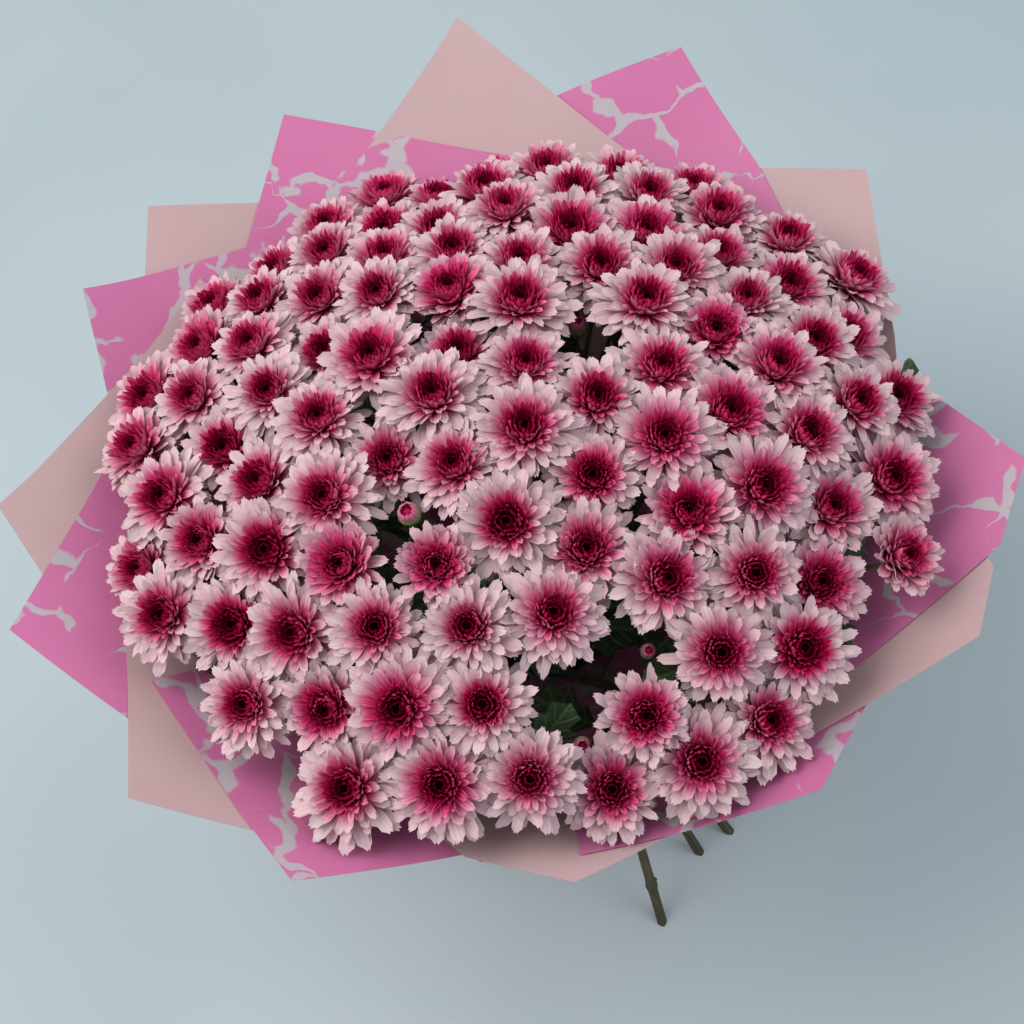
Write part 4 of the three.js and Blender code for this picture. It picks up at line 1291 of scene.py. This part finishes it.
for order, corners in enumerate(SHEETS):
    colour, film = ("pale", pale_film) if order % 2 else ("pink", pink_film)
    name = f"paper_{order + 1:02d}_{colour}"
    fuse(name + "_sheet", sheet_patches(corners, order), [], [film], [name])


# The binding tape: floristry tape wound three times round the stalks at the tie, each turn a
# little over the one before, drawn in where it lies between stalks.
TAPE_SIDES = 84
TAPE_GATHER = 0.12
TAPE_WRINKLE = 0.05
TAPE_PROFILE = [(23.6, -6), (24.9, -5.9), (25.2, -3.4), (24.7, -2.1), (24.9, -1.9), (25.3, 0.4), (24.7, 1.9)]
TAPE_PROFILE += [(24.9, 2.1), (25.2, 5.2), (24.8, 5.9), (23.6, 6), (23.6, -6)]
GATHERS = 11
WRINKLES = 29
BAND_WIND = 0.35


def band_patch(profile, sides, gather, wrinkle):
    """A band round the tie, from its section, gathered in and out as it goes round."""
    turn = np.linspace(0, 2 * np.pi, sides + 1)
    radius, height = np.array(profile, float).T
    pulled = gather * np.cos(GATHERS * turn) + wrinkle * np.sin(WRINKLES * turn + 1.3)
    reach = radius[:, None] + pulled[None, :] * (radius[:, None] > radius.min())
    wind = BAND_WIND * np.sin(turn)[None, :] * (np.abs(height) < np.abs(height).max())[:, None]
    points = triple(reach * np.cos(turn), reach * np.sin(turn), TIE_HEIGHT + height[:, None] + wind)
    along = np.cumsum(np.concatenate([[0], np.hypot(np.diff(radius), np.diff(height))]))
    place = triple(along[:, None] / 10, turn * radius.max() / 10, 0.2)
    return patch(points[None], place, (0, 0, 0))


tape_skin, tree = new_material("floristry tape")
crepe = noise_in(tree, attribute(tree, "place"), 26.0, 3.0)
tape_colour = colour_ramp(tree, crepe, [(0.3, "34502f"), (0.7, "4a6a41")])
tape_relief = relief_of(tree, 0.5, 0.0003, crepe)
finish_material(tree, {"Base Color": tape_colour, "Roughness": 0.6, "Normal": tape_relief})
tape = band_patch(TAPE_PROFILE, TAPE_SIDES, TAPE_GATHER, TAPE_WRINKLE)
fuse("binding_tape", [tape], [], [tape_skin], ["stem_tie"])


# The ribbon: pale pink satin, drawn tight round the neck of the paper in soft pleats and tied in
# one flat knot in front, with two tails cut at a slant that lie down along the skirt.
RIBBON_INNER = 33.9
RIBBON_OUTER = 35.0
RIBBON_HALF = 8
RIBBON_SIDES = 96
RIBBON_BEARING = math.radians(-64.3)
RIBBON_SUNK = 0.6
RIBBON_GATHER = 0.05
RIBBON_WRINKLE = 0.08
PLEAT_POINTS = 13
PLEAT_DEPTH = 0.35
PLEAT_TURNS = 3
RIBBON_EDGE_DROP = 0.3
KNOT_DEPTH = 6.0
KNOT_HALF_WIDTH = 7.0
KNOT_POINTS = (29, 15)
KNOT_BLUNTNESS = 0.7
KNOT_END_ROUNDING = 3.5
KNOT_CREASES = 0.10
KNOT_PINCH = 0.08
TAIL_LENGTH = 62
TAIL_HALF_WIDTH = 6.5
TAIL_SLANT = 6
TAIL_SPLAY = math.radians(17)
TAIL_THICKNESS = 0.5
TAIL_STEPS = 26
TAIL_START_WIDTH = 0.62
TAIL_WAVE = 0.7
TAIL_SECTION = np.array([-1, -0.97, -0.6, -0.2, 0.2, 0.6, 0.97, 1, 0.97, 0.6, 0.2, -0.2, -0.6, -0.97, -1])
TAIL_FACE = np.array([0, 1, 1, 1, 1, 1, 1, 0, -1, -1, -1, -1, -1, -1, 0])
SKIRT_RUN, SKIRT_RISE = PAPER_PROFILE[1] - PAPER_PROFILE[0]
SKIRT_SLOPE = math.atan2(SKIRT_RISE, -SKIRT_RUN)

pleats = np.linspace(-1, 1, PLEAT_POINTS)
pleat_reach = RIBBON_OUTER - PLEAT_DEPTH * (1 - np.cos(pleats * PLEAT_TURNS * np.pi)) / 2
pleat_reach = pleat_reach - RIBBON_EDGE_DROP * pleats**6
ribbon_profile = [(RIBBON_INNER, -RIBBON_HALF)]
ribbon_profile += [(reach, height * RIBBON_HALF) for reach, height in zip(pleat_reach, pleats)]
ribbon_profile += [(RIBBON_INNER, RIBBON_HALF), (RIBBON_INNER, -RIBBON_HALF)]


def before_ribbon(radial, side, height):
    """Points in front of the ribbon, from how far out, how far to the side and how high they are."""
    x = radial * math.cos(RIBBON_BEARING) - side * math.sin(RIBBON_BEARING)
    y = radial * math.sin(RIBBON_BEARING) + side * math.cos(RIBBON_BEARING)
    return triple(x, y, height)


def knot_patch():
    """The knot: a soft cushion, pinched across the middle, closed round from top to bottom."""
    round_way = np.linspace(0, 2 * np.pi, KNOT_POINTS[0])[:, None]
    across = np.linspace(-1, 1, KNOT_POINTS[1])[None, :]
    upwards, outwards = (np.sign(wave) * np.abs(wave) ** KNOT_BLUNTNESS
                         for wave in (np.sin(round_way), np.cos(round_way)))
    creases = KNOT_CREASES * np.cos(across * 9) * np.abs(np.cos(round_way))
    pinch = KNOT_PINCH * np.exp(-(across * 3) ** 2)
    swell = np.sqrt(np.maximum(1 - np.abs(across) ** KNOT_END_ROUNDING, 0)) * (1 - creases - pinch)
    tall = RIBBON_HALF * 0.97 * swell * upwards
    deep = KNOT_DEPTH / 2 * (1 + 0.96 * swell * outwards)
    wide = KNOT_HALF_WIDTH * across * (1 - 0.05 * np.cos(round_way * 2))
    points = before_ribbon(RIBBON_INNER + deep, wide, TIE_HEIGHT + tall)
    return patch(points[None], triple(round_way, across, 0.6), (0, 0, 0), turned=True)


def tail_patch(way):
    """One tail, towards one side: thin, with a long soft wave, as one closed sleeve."""
    along = np.linspace(0, 1, TAIL_STEPS)[:, None]
    section = TAIL_SECTION[None, :]
    length = TAIL_LENGTH - way * TAIL_SLANT * (section + 1) / 2
    widening = np.clip(along * 5, 0, 1)
    across = section * TAIL_HALF_WIDTH * (TAIL_START_WIDTH + (1 - TAIL_START_WIDTH) * widening)
    splay = way * TAIL_SPLAY
    down = length * along * math.cos(splay) - across * math.sin(splay)
    side = length * along * math.sin(splay) + across * math.cos(splay)
    wave = 0.5 + 0.45 * np.sin(along * 9 + way) * np.clip(along * 3, 0, 1)
    wave = wave + 0.25 * section * np.sin(along * 5)
    off = wave * TAIL_WAVE + TAIL_THICKNESS / 2 * (1 + TAIL_FACE[None, :])
    lean = (math.cos(SKIRT_SLOPE), math.sin(SKIRT_SLOPE))
    radial = RIBBON_OUTER + RIBBON_SUNK + down * lean[0] + off * lean[1]
    height = TIE_HEIGHT - RIBBON_SUNK - down * lean[1] + off * lean[0]
    points = before_ribbon(radial, side, height)
    place = triple(along * 6, section * TAIL_HALF_WIDTH / 10, 0.3)
    return patch(points[None], place, (0, 0, 0), turned=True)


satin, tree = new_material("pink satin ribbon")
place = attribute(tree, "place")
threads = {"Vector": place, "Scale": 30.0, "Distortion": 0.4}
weave = add_node(tree, "TexWave", {"bands_direction": "Y"}, threads).outputs["Fac"]
# Painted shade and sheen: the satin is coloured lighter and darker in soft patches, as over folds.
fold_shade_patches = noise_in(tree, place, 1.3, 2.0)
finish_material(tree, {
    "Base Color": colour_ramp(tree, fold_shade_patches, [(0.3, "dcabb9"), (0.7, "eac2cc")]),
    "Roughness": 0.3,
    "Normal": relief_of(tree, 0.12, 0.0002, weave),
    "Sheen Weight": 0.3,
    "Specular IOR Level": 0.6,
})
band = band_patch(ribbon_profile, RIBBON_SIDES, RIBBON_GATHER, RIBBON_WRINKLE)
ribbon_patches = [band, knot_patch(), tail_patch(-1), tail_patch(1)]
fuse("satin_ribbon", ribbon_patches, [], [satin], ["ribbon"])
